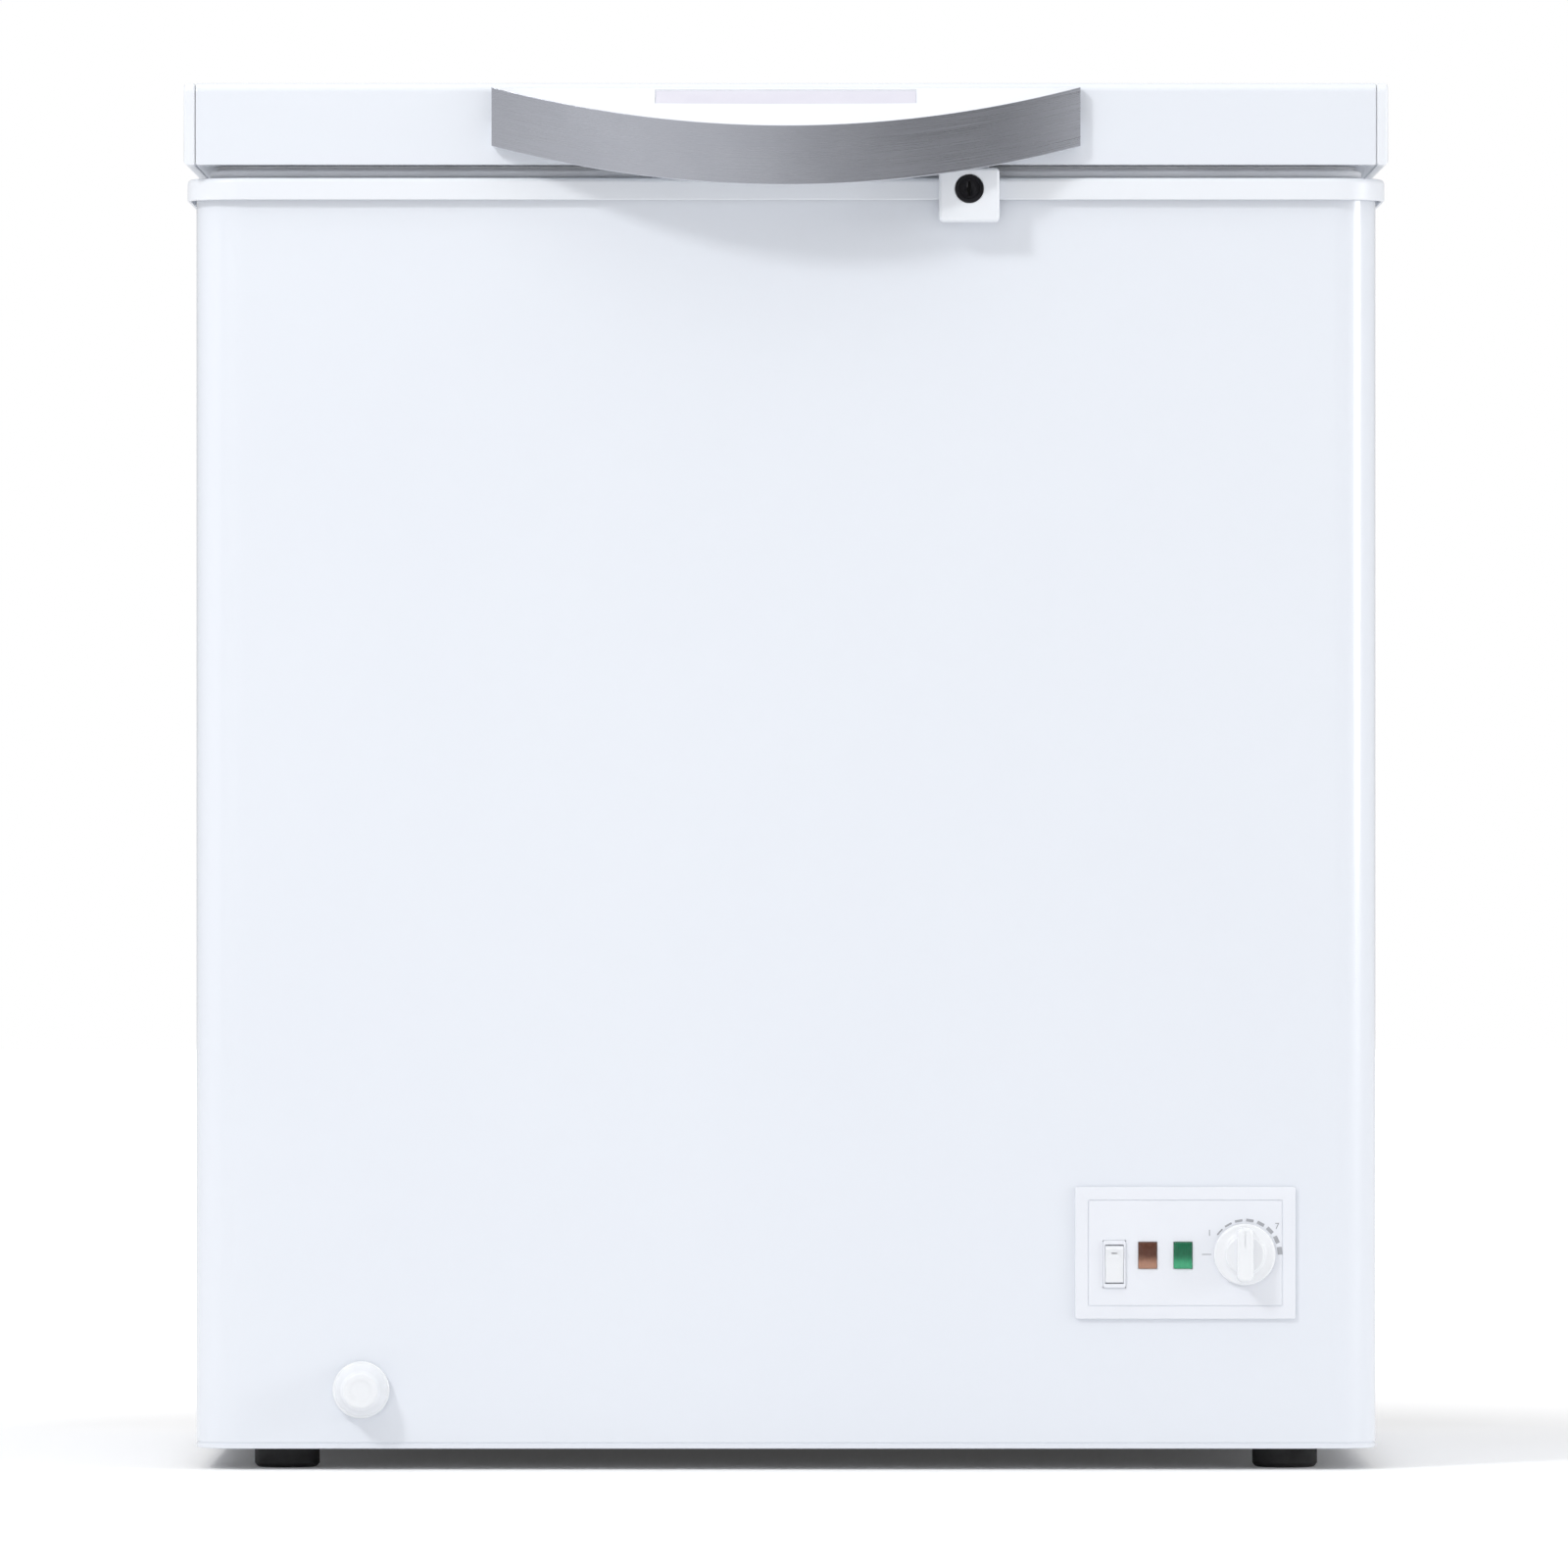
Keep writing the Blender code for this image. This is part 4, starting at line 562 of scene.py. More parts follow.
def wireRowTree(tree, given):
    # bent U wires that hang side by side, spaced along X
    narrow = mathOf(tree, "SUBTRACT", given["Half span"], given["Taper"])
    down = mathOf(tree, "MULTIPLY", given["Drop"], -1.0)
    wide = given["Half span"]
    corners = [vectorOf(tree, None, mathOf(tree, "MULTIPLY", reach, side), height) for side, reach, height in (
        (-1.0, wide, 0.0), (-1.0, narrow, down), (1.0, narrow, down), (1.0, wide, 0.0))]
    switch = addNode(tree, "GeometryNodeIndexSwitch", data_type="VECTOR")
    switch.index_switch_items.new()
    switch.index_switch_items.new()
    setInputs(switch, dict(enumerate([grow(tree, "InputIndex"), *corners])))
    bent = grow(tree, "SetPosition", {"Geometry": grow(tree, "MeshLine", {"Count": 4}),
                                      "Position": switch.outputs[0]})
    wire = sweep(tree, bend(tree, bent, 5, given["Bend radius"]), given["Wire radius"], 8)
    row = grow(tree, "MeshLine", {"Count": given["Count"], "Start Location": vectorOf(tree, given["Start"]),
                                  "Offset": vectorOf(tree, given["Pitch"])})
    return grow(tree, "InstanceOnPoints", {"Points": row, "Instance": wire})


def screwFieldTree(tree, given):
    # pan head screws with a cross recess, one on each point, facing along the point's own direction
    height, radius, slot = given["Head height"], given["Head radius"], given["Slot width"]
    dome = grow(tree, "MeshCone", {
        "Vertices": 20, "Side Segments": 2, "Radius Top": mathOf(tree, "MULTIPLY", radius, 0.66),
        "Radius Bottom": radius, "Depth": height})
    wide = mathOf(tree, "MULTIPLY", radius, 1.15)
    head = addNode(tree, "GeometryNodeMeshBoolean", {"Mesh 1": dome}, operation="DIFFERENCE", solver="EXACT")
    for length, width in ((wide, slot), (slot, wide)):
        cube = grow(tree, "MeshCube", {"Size": vectorOf(tree, length, width, height)})
        lifted = grow(tree, "Transform", {"Geometry": cube, "Translation": vectorOf(tree, None, None, height)})
        setInputs(head, {"Mesh 2": lifted})
    facing = grow(tree, "InputNamedAttribute", {"Name": "facing"}, data_type="FLOAT_VECTOR")
    aim = addNode(tree, "FunctionNodeAlignRotationToVector", {"Vector": facing}, axis="Z").outputs[0]
    return grow(tree, "InstanceOnPoints", {
        "Points": grow(tree, "MeshToPoints", {"Mesh": given["Geometry"]}), "Instance": head.outputs["Mesh"],
        "Rotation": aim})


def slatRowTree(tree, given):
    # louvre blades with rounded edges, tilted, one above the other along Y
    half = mathOf(tree, "MULTIPLY", given["Length"], 0.5)
    line = grow(tree, "CurvePrimitiveLine", {
        "Start": vectorOf(tree, mathOf(tree, "MULTIPLY", half, -1.0)), "End": vectorOf(tree, half)})
    flat = grow(tree, "Transform", {"Geometry": sweep(tree, line, 0.5, 14),
                                    "Scale": vectorOf(tree, 1.0, given["Depth"], given["Thickness"])})
    flat = grow(tree, "Transform", {"Geometry": flat, "Rotation": vectorOf(tree, given["Tilt"])})
    gaps = mathOf(tree, "MULTIPLY", mathOf(tree, "SUBTRACT", given["Count"], 1.0), -0.5)
    row = grow(tree, "MeshLine", {
        "Count": given["Count"], "Offset": vectorOf(tree, None, given["Pitch"]),
        "Start Location": vectorOf(tree, None, mathOf(tree, "MULTIPLY", gaps, given["Pitch"]))})
    return grow(tree, "InstanceOnPoints", {"Points": row, "Instance": flat})


def coilTree(tree, given):
    # a spring wound along Z
    spiral = grow(tree, "CurveSpiral", {
        "Resolution": 28, "Rotations": given["Turns"], "Start Radius": given["Coil radius"],
        "End Radius": given["Coil radius"], "Height": given["Height"]})
    return sweep(tree, spiral, given["Wire radius"], 8)


def dialScaleTree(tree, given):
    # tiles round an arc that grow longer from the first to the last
    share = mathOf(tree, "DIVIDE", grow(tree, "InputIndex"), mathOf(tree, "SUBTRACT", given["Count"], 1.0))
    angle, length = (shade(tree, "MapRange", {"Value": share, "To Min": given[first], "To Max": given[last]})
                     for first, last in (("Start angle", "End angle"), ("First length", "Last length")))
    reach = mathOf(tree, "ADD", given["Inner radius"], mathOf(tree, "MULTIPLY", length, 0.5))
    spot = vectorOf(tree, *(mathOf(tree, "MULTIPLY", reach, mathOf(tree, part, angle, 0.0))
                            for part in ("COSINE", "SINE")))
    placed = grow(tree, "SetPosition", {"Geometry": grow(tree, "MeshLine", {"Count": given["Count"]}),
                                        "Position": spot})
    return grow(tree, "InstanceOnPoints", {
        "Points": placed, "Instance": grow(tree, "MeshCube", {"Size": (1.0, 1.0, 1.0)}),
        "Rotation": vectorOf(tree, None, None, angle),
        "Scale": vectorOf(tree, length, given["Tile width"], given["Tile thickness"])})


wirePath = geometryTree("wirePath", {"Wire radius": 0.002, "Bend radius": 0.006, "Bend steps": 5, "Sides": 10},
                        wirePathTree, takesGeometry=True)
wireRow = geometryTree("wireRow", {"Half span": 0.1, "Drop": 0.1, "Taper": 0.006, "Count": 5, "Pitch": 0.02,
                                   "Start": 0.0, "Wire radius": 0.0015, "Bend radius": 0.012}, wireRowTree)
screwField = geometryTree("screwField", {"Head radius": 0.0035, "Head height": 0.0016, "Slot width": 0.0009},
                          screwFieldTree, takesGeometry=True)
slatRow = geometryTree("slatRow", {"Length": 0.2, "Depth": 0.010, "Thickness": 0.002, "Tilt": 0.6, "Count": 9,
                                   "Pitch": 0.018}, slatRowTree)
coil = geometryTree("coil", {"Turns": 5.0, "Coil radius": 0.005, "Height": 0.008, "Wire radius": 0.0008},
                    coilTree)
dialScale = geometryTree("dialScale", {
    "Inner radius": 0.0198, "Count": 9, "Start angle": 2.3, "End angle": 0.0, "First length": 0.0008,
    "Last length": 0.0030, "Tile width": 0.003, "Tile thickness": 0.0001}, dialScaleTree, flat=True)
print("geometry trees built")


def pointMesh(spots, facing):
    mesh = bpy.data.meshes.new("spots")
    mesh.from_pydata([tuple(spot) for spot in spots], [], [])
    layer = mesh.attributes.new("facing", "FLOAT_VECTOR", "POINT")
    layer.data.foreach_set("vector", facing)
    return mesh


def closedChain(points):
    mesh = bpy.data.meshes.new("chain")
    mesh.from_pydata(points, [(i, (i + 1) % len(points)) for i in range(len(points))], [])
    return mesh


# parts whose CAD shape is right: a merged copy with softened edges and its own finish

weld = {"distance": 2e-6, "flat": 0.4, "sharp": 32, "softSegments": 2, "softAngle": 50}
softened = {
    "base_plate": ("zincSheet", 0.0004), "bay_bulkhead": ("zincSheet", 0.0002),
    "hinge_base_left": ("zincSheet", 0.0006), "hinge_base_right": ("zincSheet", 0.0006),
    "hinge_leaf_left": ("zincSheet", 0.0005), "hinge_leaf_right": ("zincSheet", 0.0005),
    "hinge_pin_left": ("springWire", 0.0002), "hinge_pin_right": ("springWire", 0.0002),
    "lock_strike": ("zincSheet", 0.0003), "compressor_rail": ("blackSteel", 0.0006),
    "relay_cover": ("darkMoulding", 0.0), "cord_gland": ("darkMoulding", 0.0003),
    **{"rubber_mount_" + number: ("blackRubber", 0.0006) for number in "1234"},
    **{"foot_%s_%s" % (end, side): ("blackRubber", 0.0008) for end in ("front", "back")
       for side in ("left", "right")},
    "filter_drier": ("copperTube", 0.0), "discharge_tube": ("copperTube", 0.0),
    "suction_tube": ("copperTube", 0.0), "drain_elbow": ("whiteMoulding", 0.0003),
    "drain_spout": ("whiteMoulding", 0.0003), "drain_plug": ("whiteMoulding", 0.0003),
    "panel_rear_box": ("whiteMoulding", 0.0004), "thermostat_body": ("darkMoulding", 0.0008),
}


def camelName(node):
    first, *rest = node.split("_")
    return first + "".join(word.capitalize() for word in rest)


def welded(node):
    # the part's CAD mesh with its doubled points merged and its flat faces whole
    bm = bmesh.new()
    bm.from_mesh(nodes[node].data)
    bmesh.ops.remove_doubles(bm, verts=bm.verts, dist=weld["distance"])
    bmesh.ops.dissolve_limit(bm, angle_limit=math.radians(weld["flat"]), verts=bm.verts, edges=bm.edges)
    return bm


def softenedCopy(node, finish, width):
    bm = welded(node)
    mesh = bpy.data.meshes.new(camelName(node))
    bm.to_mesh(mesh)
    bm.free()
    smooth(mesh, weld["sharp"])
    obj = newObject(camelName(node), mesh, finish)
    if width:
        softenEdges(obj, width, weld["softSegments"], weld["softAngle"])
    return setPiece(obj, bodyOf[node], node)


for node, (finish, width) in softened.items():
    softenedCopy(node, finish, width)
for node, finish in (("cabinet_foam", "insulation"), ("lid_foam", "insulation"),
                     ("evaporator_tube", "copperTube"), ("condenser_tube", "copperTube")):
    nodes[node].data.materials.clear()
    nodes[node].data.materials.append(materials[finish])
print("softened copies made:", len(softened))


# cabinet shell with its folded bottom edge

cabinet = {"cornerRadius": 0.028, "backRadius": 0.010, "sheet": 0.0008, "fold": 0.012, "foldRadius": 0.0006,
           "hem": 0.0030, "hemLine": 0.0005, "flange": 0.022, "sill": 0.020, "cornerSteps": 20,
           "panelLap": 0.0045, "spoutRoom": 0.0015, "grilleLap": 0.008}
shellLow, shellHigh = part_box("cabinet_shell")
halfWidth, frontY, backY = shellHigh.x, shellLow.y, shellHigh.y


def cabinetLoop(out, z, back=backY, steps=cabinet["cornerSteps"]):
    return roundedLoop((-halfWidth - out, frontY - out), (halfWidth + out, back + out),
                       (cabinet["cornerRadius"] + out, cabinet["backRadius"] + out), z, steps)


def buildCabinetShell():
    bottom, top, sheet, fold = shellLow.z, shellHigh.z, cabinet["sheet"], cabinet["fold"]
    line, sunk, lap = bottom + cabinet["hem"], cabinet["hemLine"], cabinet["grilleLap"]
    rows = [(-inset, bottom + cabinet["foldRadius"] - rise)
            for inset, rise in roundedEdge(cabinet["foldRadius"], 90, 0, 3)]
    rows += [(0, line - 0.0003), (-sunk, line), (-sunk, line + 0.0005), (0, line + 0.0010), (0, top),
             (-sheet, top), (-sheet, bottom + sheet), (-fold, bottom + sheet), (-fold, bottom)]
    shell = loft("cabinetShell", [cabinetLoop(out, z) for out, z in rows], "enamel", closed=True)
    spoutWide, _, _, spoutPlace = frontBox("drain_spout", frontY)
    grilleLow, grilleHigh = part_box("side_grille")
    cutAway(shell, boxTool((cabinet["flange"] - halfWidth, backY - 0.02, cabinet["sill"]),
                           (halfWidth - cabinet["flange"], backY + 0.02, 1.0)),
            frontTool("control_panel", -cabinet["panelLap"]),
            roundTool(spoutWide / 2 + cabinet["spoutRoom"], spoutPlace, 48),
            boxTool((halfWidth - cutReach, grilleLow.y + lap, grilleLow.z + lap),
                    (halfWidth + cutReach, grilleHigh.y - lap, grilleHigh.z - lap)))
    setPiece(shell, "cabinet", "cabinet_shell")


buildCabinetShell()

# back panel with pressed stiffening beads and its screws; a bead's rows are insets and shares of its rise

backPanel = {"beads": 5, "beadWidth": 0.024, "beadRise": 0.0024, "beadFoot": 0.10, "margin": 0.075,
             "beadRows": ((0, 0), (0.0010, 0.10), (0.0024, 0.45), (0.0042, 0.85), (0.0060, 1.0)),
             "corner": 0.003, "edge": 0.0002, "hole": 0.0079, "screwInset": 0.012, "screwDrop": 0.02,
             "screwsUp": 6, "screwsAcross": 5}


def buildBackPanel():
    # the flat sheet is filled between its outline, the beads and the cord hole
    low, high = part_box("back_panel")
    wide, tall, sheet = high.x - low.x, high.z - low.z, high.y - low.y
    (x, z), (holeX, holeZ) = middle("back_panel"), middle("cord_gland")
    place = Matrix.Translation((x, high.y, z)) @ Matrix.Rotation(math.pi, 4, "Z")
    hole = (x - holeX, holeZ - z)
    pitch = (wide - 2 * backPanel["margin"]) / (backPanel["beads"] - 1)
    beadTall = tall - 2 * backPanel["margin"] - backPanel["beadFoot"]
    bm = bmesh.new()

    def border(verts):
        pairs = zip(verts, verts[1:] + verts[:1])
        return [bm.edges.get(pair) or bm.edges.new(pair) for pair in pairs]

    edge, corner = backPanel["edge"], backPanel["corner"]
    rearRing, sideRing, faceRing = (ringOf(bm, loop) for loop in plateStack(wide, tall, (
        (0, corner, -sheet), (0, corner, -edge), (edge, corner - 0.0003, 0))))
    stitch(bm, rearRing, sideRing)
    stitch(bm, sideRing, faceRing)
    holeFace, holeRear = (ringOf(bm, ovalLoop(backPanel["hole"], z, hole, 40)) for z in (0, -sheet))
    stitch(bm, holeFace, holeRear)
    faceEdges, rearEdges = border(faceRing) + border(holeFace), border(rearRing) + border(holeRear)
    for number in range(backPanel["beads"]):
        spot = ((number - (backPanel["beads"] - 1) / 2) * pitch, backPanel["beadFoot"] / 2)
        last = None
        for narrower, share in backPanel["beadRows"]:
            loop = ringOf(bm, plateLoop(
                backPanel["beadWidth"] - 2 * narrower, beadTall - 2 * narrower,
                backPanel["beadWidth"] / 2 - narrower - 0.0002, backPanel["beadRise"] * share, spot, 10))
            if last:
                stitch(bm, last, loop)
            else:
                faceEdges += border(loop)
            last = loop
        bm.faces.new(last)
    bmesh.ops.triangle_fill(bm, edges=faceEdges, use_beauty=True)
    bmesh.ops.triangle_fill(bm, edges=rearEdges, use_beauty=True)
    panel = makeObject("backPanel", bm, "zincSheet", place @ quarterTurn("X"), sharp=30)
    setPiece(panel, "cabinet", "back_panel")
    inset, up, across = backPanel["screwInset"], backPanel["screwsUp"], backPanel["screwsAcross"]
    spots = []
    for number in range(up):
        z = low.z + inset + (tall - 2 * inset - backPanel["screwDrop"]) * number / (up - 1)
        spots += [(low.x + inset, high.y, z), (high.x - inset, high.y, z)]
    return spots + [(low.x + inset + (wide - 2 * inset) * number / (across - 1), high.y, low.z + inset)
                    for number in range(1, across - 1)]


backSpots = buildBackPanel()

# side grille: a frame with louvre blades and two bars behind them

grille = {"rim": 0.016, "blades": 10, "bladeDepth": 0.0124, "bladeThickness": 0.0022, "tilt": 0.85,
          "edge": 0.0011, "corner": 0.008, "innerCorner": 0.0035, "back": 0.0038, "wall": 0.009,
          "barHalf": 0.0012, "screwInset": 0.0085}


def buildGrille():
    low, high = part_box("side_grille")
    wide, tall = high.y - low.y, high.z - low.z
    place = sidePlace(low.x, (low.y + high.y) / 2, (low.z + high.z) / 2)
    back, face, corner = grille["back"], high.x - low.x, grille["corner"]
    rim, edge, inner, wall = grille["rim"], grille["edge"], grille["innerCorner"], grille["wall"]
    rows = [(0, corner, back)]
    rows += [(inset, corner - inset, face - edge + rise) for inset, rise in roundedEdge(edge, 0, 90)]
    rows += [(rim - edge * 0.7, inner + 0.0005, face), (rim, inner, face - edge * 0.7), (rim, inner, 0.0002),
             (wall, inner + 0.0005, 0.0002), (wall, inner + 0.0005, back)]
    surround = loft("grilleSurround", plateStack(wide, tall, rows), "panelMoulding", closed=True, matrix=place)
    blades = growTree("grilleBlades", slatRow, {
        "Length": wide - 2 * rim + 0.001, "Depth": grille["bladeDepth"], "Count": grille["blades"],
        "Thickness": grille["bladeThickness"], "Tilt": grille["tilt"],
        "Pitch": (tall - 2 * rim) / grille["blades"]}, "panelMoulding",
        matrix=place @ Matrix.Translation((0, 0, face * 0.45)), sharp=50)
    # the blades are squeezed to stay between the front and the back of the frame
    across = [vertex.co.x for vertex in blades.data.vertices]
    shrink = (face - 0.0006) / (max(across) - min(across))
    if shrink < 1:
        blades.data.transform(Matrix.Translation((low.x + 0.0002, 0, 0)) @ Matrix.Diagonal(
            (shrink, 1, 1, 1)) @ Matrix.Translation((-min(across), 0, 0)))
    half, reach = grille["barHalf"], tall / 2 - rim + 0.001
    bars = [softenEdges(boxTool((x - half, -reach, 0.0004), (x + half, reach, face * 0.55), place), 0.0004, 2)
            for x in (-wide / 6, wide / 6)]
    setPiece(joinMeshes(surround, blades, *bars), "cabinet", "side_grille")
    inset = grille["screwInset"]
    return [(high.x - 0.0003, y, z) for y in (low.y + inset, high.y - inset)
            for z in (low.z + inset, high.z - inset)]


grilleSpots = buildGrille()
print("cabinet shell, back and grille made")

# liner with its ledge and the step over the compressor

liner = {"wall": 0.0010, "ledge": 0.010, "ledgeDrop": 0.026, "radius": 0.030, "slope": 0.003, "bend": 0.012,
         "draft": 0.0005, "stepFoam": 0.044, "lipEdge": 0.0012, "ledgeEdge": 0.0015, "drainHole": 0.0082,
         "cornerSteps": 16}
linerLow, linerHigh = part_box("inner_liner")
cavityHalf, cavityFront = linerHigh.x - 2 * liner["ledge"], linerLow.y + 2 * liner["ledge"]
cavityBack, rimTop = linerHigh.y - 2 * liner["ledge"], linerHigh.z
cavityFloor = linerLow.z + liner["wall"]
trimLow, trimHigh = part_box("top_trim_frame")
trimTop, trimBottom = trimHigh.z, trimLow.z
ledgeZ = trimTop - liner["ledgeDrop"]
bulkheadLow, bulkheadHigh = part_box("bay_bulkhead")
stepX, stepZ = bulkheadLow.x - liner["stepFoam"], bulkheadHigh.z - liner["wall"] + liner["stepFoam"]


def cavityLoop(out, z, steps=liner["cornerSteps"]):
    return roundedLoop((-cavityHalf - out, cavityFront - out), (cavityHalf + out, cavityBack + out),
                       (liner["radius"] + out, liner["radius"] + out), z, steps)


def lowerLoop(out, z):
    draft = liner["draft"]
    return roundedLoop((-cavityHalf - out + draft, cavityFront - out + draft),
                       (stepX + out, cavityBack + out - draft),
                       (liner["radius"] + out, liner["radius"] + out), z, liner["cornerSteps"])


def buildLiner():
    wall, ledge, slope, lip, brink = (liner[key] for key in ("wall", "ledge", "slope", "lipEdge", "ledgeEdge"))
    turns = [circlePoint(liner["bend"], angle) for angle in (0, 18, 36, 54, 72, 90)]
    quarter = [(liner["bend"] - rise, liner["bend"] - across) for across, rise in turns]
    loops = [lowerLoop(wall - inset, cavityFloor - wall + rise) for inset, rise in quarter]
    loops.append(lowerLoop(wall, stepZ - wall))
    loops += [cavityLoop(out, z) for out, z in (
        (wall, stepZ - wall + slope), (wall, ledgeZ - wall), (ledge + wall, ledgeZ - wall),
        (ledge + wall, rimTop - wall), (ledge * 2, rimTop - wall), (ledge * 2, rimTop), (ledge + lip, rimTop),
        (ledge, rimTop - lip), (ledge, ledgeZ + lip), (ledge - lip, ledgeZ), (brink, ledgeZ),
        (0, ledgeZ - brink), (0, stepZ + slope + 0.004))]
    loops.append(lowerLoop(0, stepZ))
    loops += [lowerLoop(-inset, cavityFloor + rise) for inset, rise in reversed(quarter)]
    plugLow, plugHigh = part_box("drain_plug")
    drain = Matrix.Translation(((plugLow.x + plugHigh.x) / 2, (plugLow.y + plugHigh.y) / 2, cavityFloor))
    made = cutAway(loft("innerLiner", loops, "linerSheet", sharp=40), roundTool(liner["drainHole"], drain, 40))
    setPiece(made, "cabinet", "inner_liner")


buildLiner()

# white collar round the top

collar = {"edge": 0.0030, "footEdge": 0.0004, "overhang": 0.0055, "lip": 0.0082, "lipEdge": 0.0015,
          "hang": 0.012, "skirt": 0.0020, "drop": 0.0025, "gap": 0.0003}


def buildCollar():
    over, lip, edge, foot = collar["overhang"], collar["lip"], collar["edge"], collar["footEdge"]
    hang, land, brink = trimTop - collar["hang"], trimTop - collar["drop"], collar["lipEdge"]
    rows = [(over - foot, trimBottom), (over, trimBottom + foot)]
    rows += [(over - inset, trimTop - edge + rise) for inset, rise in roundedEdge(edge, 0, 90, 6)]
    inside = [(lip + brink - rise, trimTop - brink + across) for across, rise in
              (circlePoint(brink, angle) for angle in (0, 30, 60, 90))]
    inside += [(lip, hang), (liner["ledge"] - collar["gap"], hang), (liner["ledge"] - collar["gap"], land)]
    under = [(over - collar["skirt"], land), (over - collar["skirt"], trimBottom)]
    outer = [[cabinetLoop(out, z, trimHigh.y - over, liner["cornerSteps"]) for out, z in some]
             for some in (rows, under)]
    loops = outer[0] + [cavityLoop(out, z) for out, z in inside] + outer[1]
    setPiece(loft("topCollar", loops, "whiteMoulding", closed=True), "cabinet", "top_trim_frame")


buildCollar()
print("liner and collar made")

# lid: folded skin, two end caps, formed liner and the bellows seal

lid = {"edgeRadius": 0.006, "sheet": 0.0008, "lip": 0.012, "edgeSteps": 12, "capEdge": 0.0024,
       "seamEdge": 0.0010}
skinLow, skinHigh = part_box("lid_skin")
capLow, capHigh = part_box("lid_end_right")
lidFront, lidBack, lidBottom, lidTop = skinLow.y, skinHigh.y, skinLow.z, skinHigh.z
lidHalf, skinHalf = capHigh.x, skinHigh.x


def lidPath(inset, lip=None):
    # (y, z) points from the front lip over the top to the back lip
    radius = max(lid["edgeRadius"] - inset, 0.0004)
    front, back = lidFront + inset, lidBack - inset
    top, bottom = lidTop - inset, lidBottom + inset
    points = [(front, bottom)]
    for centre, start in ((front + radius, 180), (back - radius, 90)):
        for step in range(lid["edgeSteps"] + 1):
            across, up = circlePoint(radius, start - 90 * step / lid["edgeSteps"])
            points.append((centre + across, top - radius + up))
    points.append((back, bottom))
    return [(lidFront + lip, bottom), *points, (lidBack - lip, bottom)] if lip else points


def along(x, path):
    return [Vector((x, y, z)) for y, z in path]


def buildLid():
    def outline(inset):
        return lidPath(inset, lid["lip"]) + list(reversed(lidPath(lid["sheet"], lid["lip"])))

    seam, edge, inner = lid["seamEdge"], lid["capEdge"], capLow.x
    loops = [along(x, outline(inset)) for x, inset in (
        (-skinHalf, seam * 0.6), (-skinHalf + seam, 0), (skinHalf - seam, 0), (skinHalf, seam * 0.6))]
    setPiece(loft("lidSkin", loops, "enamel"), "lid", "lid_skin")
    for side, name, node in ((-1, "lidCapLeft", "lid_end_left"), (1, "lidCapRight", "lid_end_right")):
        loops = [along(side * inner, lidPath(seam)), along(side * (inner + seam), lidPath(0))]
        loops += [along(side * (lidHalf - edge + rise), lidPath(inset))
                  for inset, rise in roundedEdge(edge, 0, 90, 6)]
        setPiece(loft(name, loops, "whiteMoulding"), "lid", node)


# the liner's plug hangs down with a drafted wall; its rows are a share of the draft, an extra inset,
# a start height (the lid's underside or the plug's floor) and a rise from there
lidLiner = {"sheet": 0.0012, "draft": 0.010, "inset": -0.002, "corner": 0.004, "rows": (
    (0, 0.0008, "rim", 0), (0, -0.0006, "rim", -0.0010), (0.35, 0, "rim", -0.0075), (0.6, 0, "floor", 0.004),
    (0.72, 0, "floor", 0.0016), (1, 0, "floor", 0))}


def buildLidLiner():
    low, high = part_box("lid_liner")
    sheet, draft, plug = lidLiner["sheet"], lidLiner["draft"], lidLiner["inset"]
    level = {"rim": lidBottom, "floor": low.z}
    corner = (lidLiner["corner"], lidLiner["corner"])
    outer = [roundedLoop(low, high, corner, z, liner["cornerSteps"]) for z in (lidBottom + sheet, lidBottom)]
    outer += [cavityLoop(-plug + extra - draft * share, level[start] + rise)
              for share, extra, start, rise in lidLiner["rows"]]
    inner = [cavityLoop(-plug - draft - sheet, low.z + sheet),
             cavityLoop(-plug - draft * 0.6 - sheet, low.z + 0.004 + sheet * 0.4),
             cavityLoop(-plug - sheet, lidBottom + sheet)]
    bm = bmesh.new()
    rings = [ringOf(bm, loop) for loop in outer + inner]
    for number in range(len(rings)):
        if number != len(outer) - 1:
            stitch(bm, rings[number], rings[(number + 1) % len(rings)])
    bm.faces.new(rings[len(outer) - 1])
    bm.faces.new(rings[len(outer)])
    setPiece(makeObject("lidLiner", bm, "whiteMoulding"), "lid", "lid_liner")


seal = {"width": 0.014, "bulb": 0.0052, "neck": 0.0052, "corner": 0.020, "lap": 0.0012}


def buildGasket():
    low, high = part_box("lid_gasket")
    wide, bulb, neck, lap = seal["width"], seal["bulb"] / 2, seal["neck"], seal["lap"]
    # outer side of the bulb, which sits on the collar, then the neck up to the lid and down again
    turns = [circlePoint(bulb, angle) for angle in range(-80, 81, 16)]
    section = [(bulb - across, low.z + bulb + rise) for across, rise in turns]
    section += [(neck, low.z + 2 * bulb + 0.0002), (neck + 0.0008, high.z - lap), (neck - 0.0015, high.z),
                (wide, high.z), (wide - neck * 0.5, high.z - lap), (wide - neck * 0.5, low.z + 2 * bulb)]
    turns = [circlePoint(bulb, angle) for angle in range(80, -81, -20)]
    section += [(wide - bulb + across, low.z + bulb + rise) for across, rise in turns]
    loops = []
    for at, z in section:
        corner = seal["corner"] - at * 0.4
        loops.append(roundedLoop((low.x + at, low.y + at), (high.x - at, high.y - at), (corner, corner), z,
                                 liner["cornerSteps"]))
    setPiece(loft("lidSeal", loops, "sealRubber", closed=True, sharp=12), "lid", "lid_gasket")


buildLid()
buildLidLiner()
buildGasket()
print("lid made")

# handle: a bow with a sloping shelf, an empty name recess and a brushed band in front

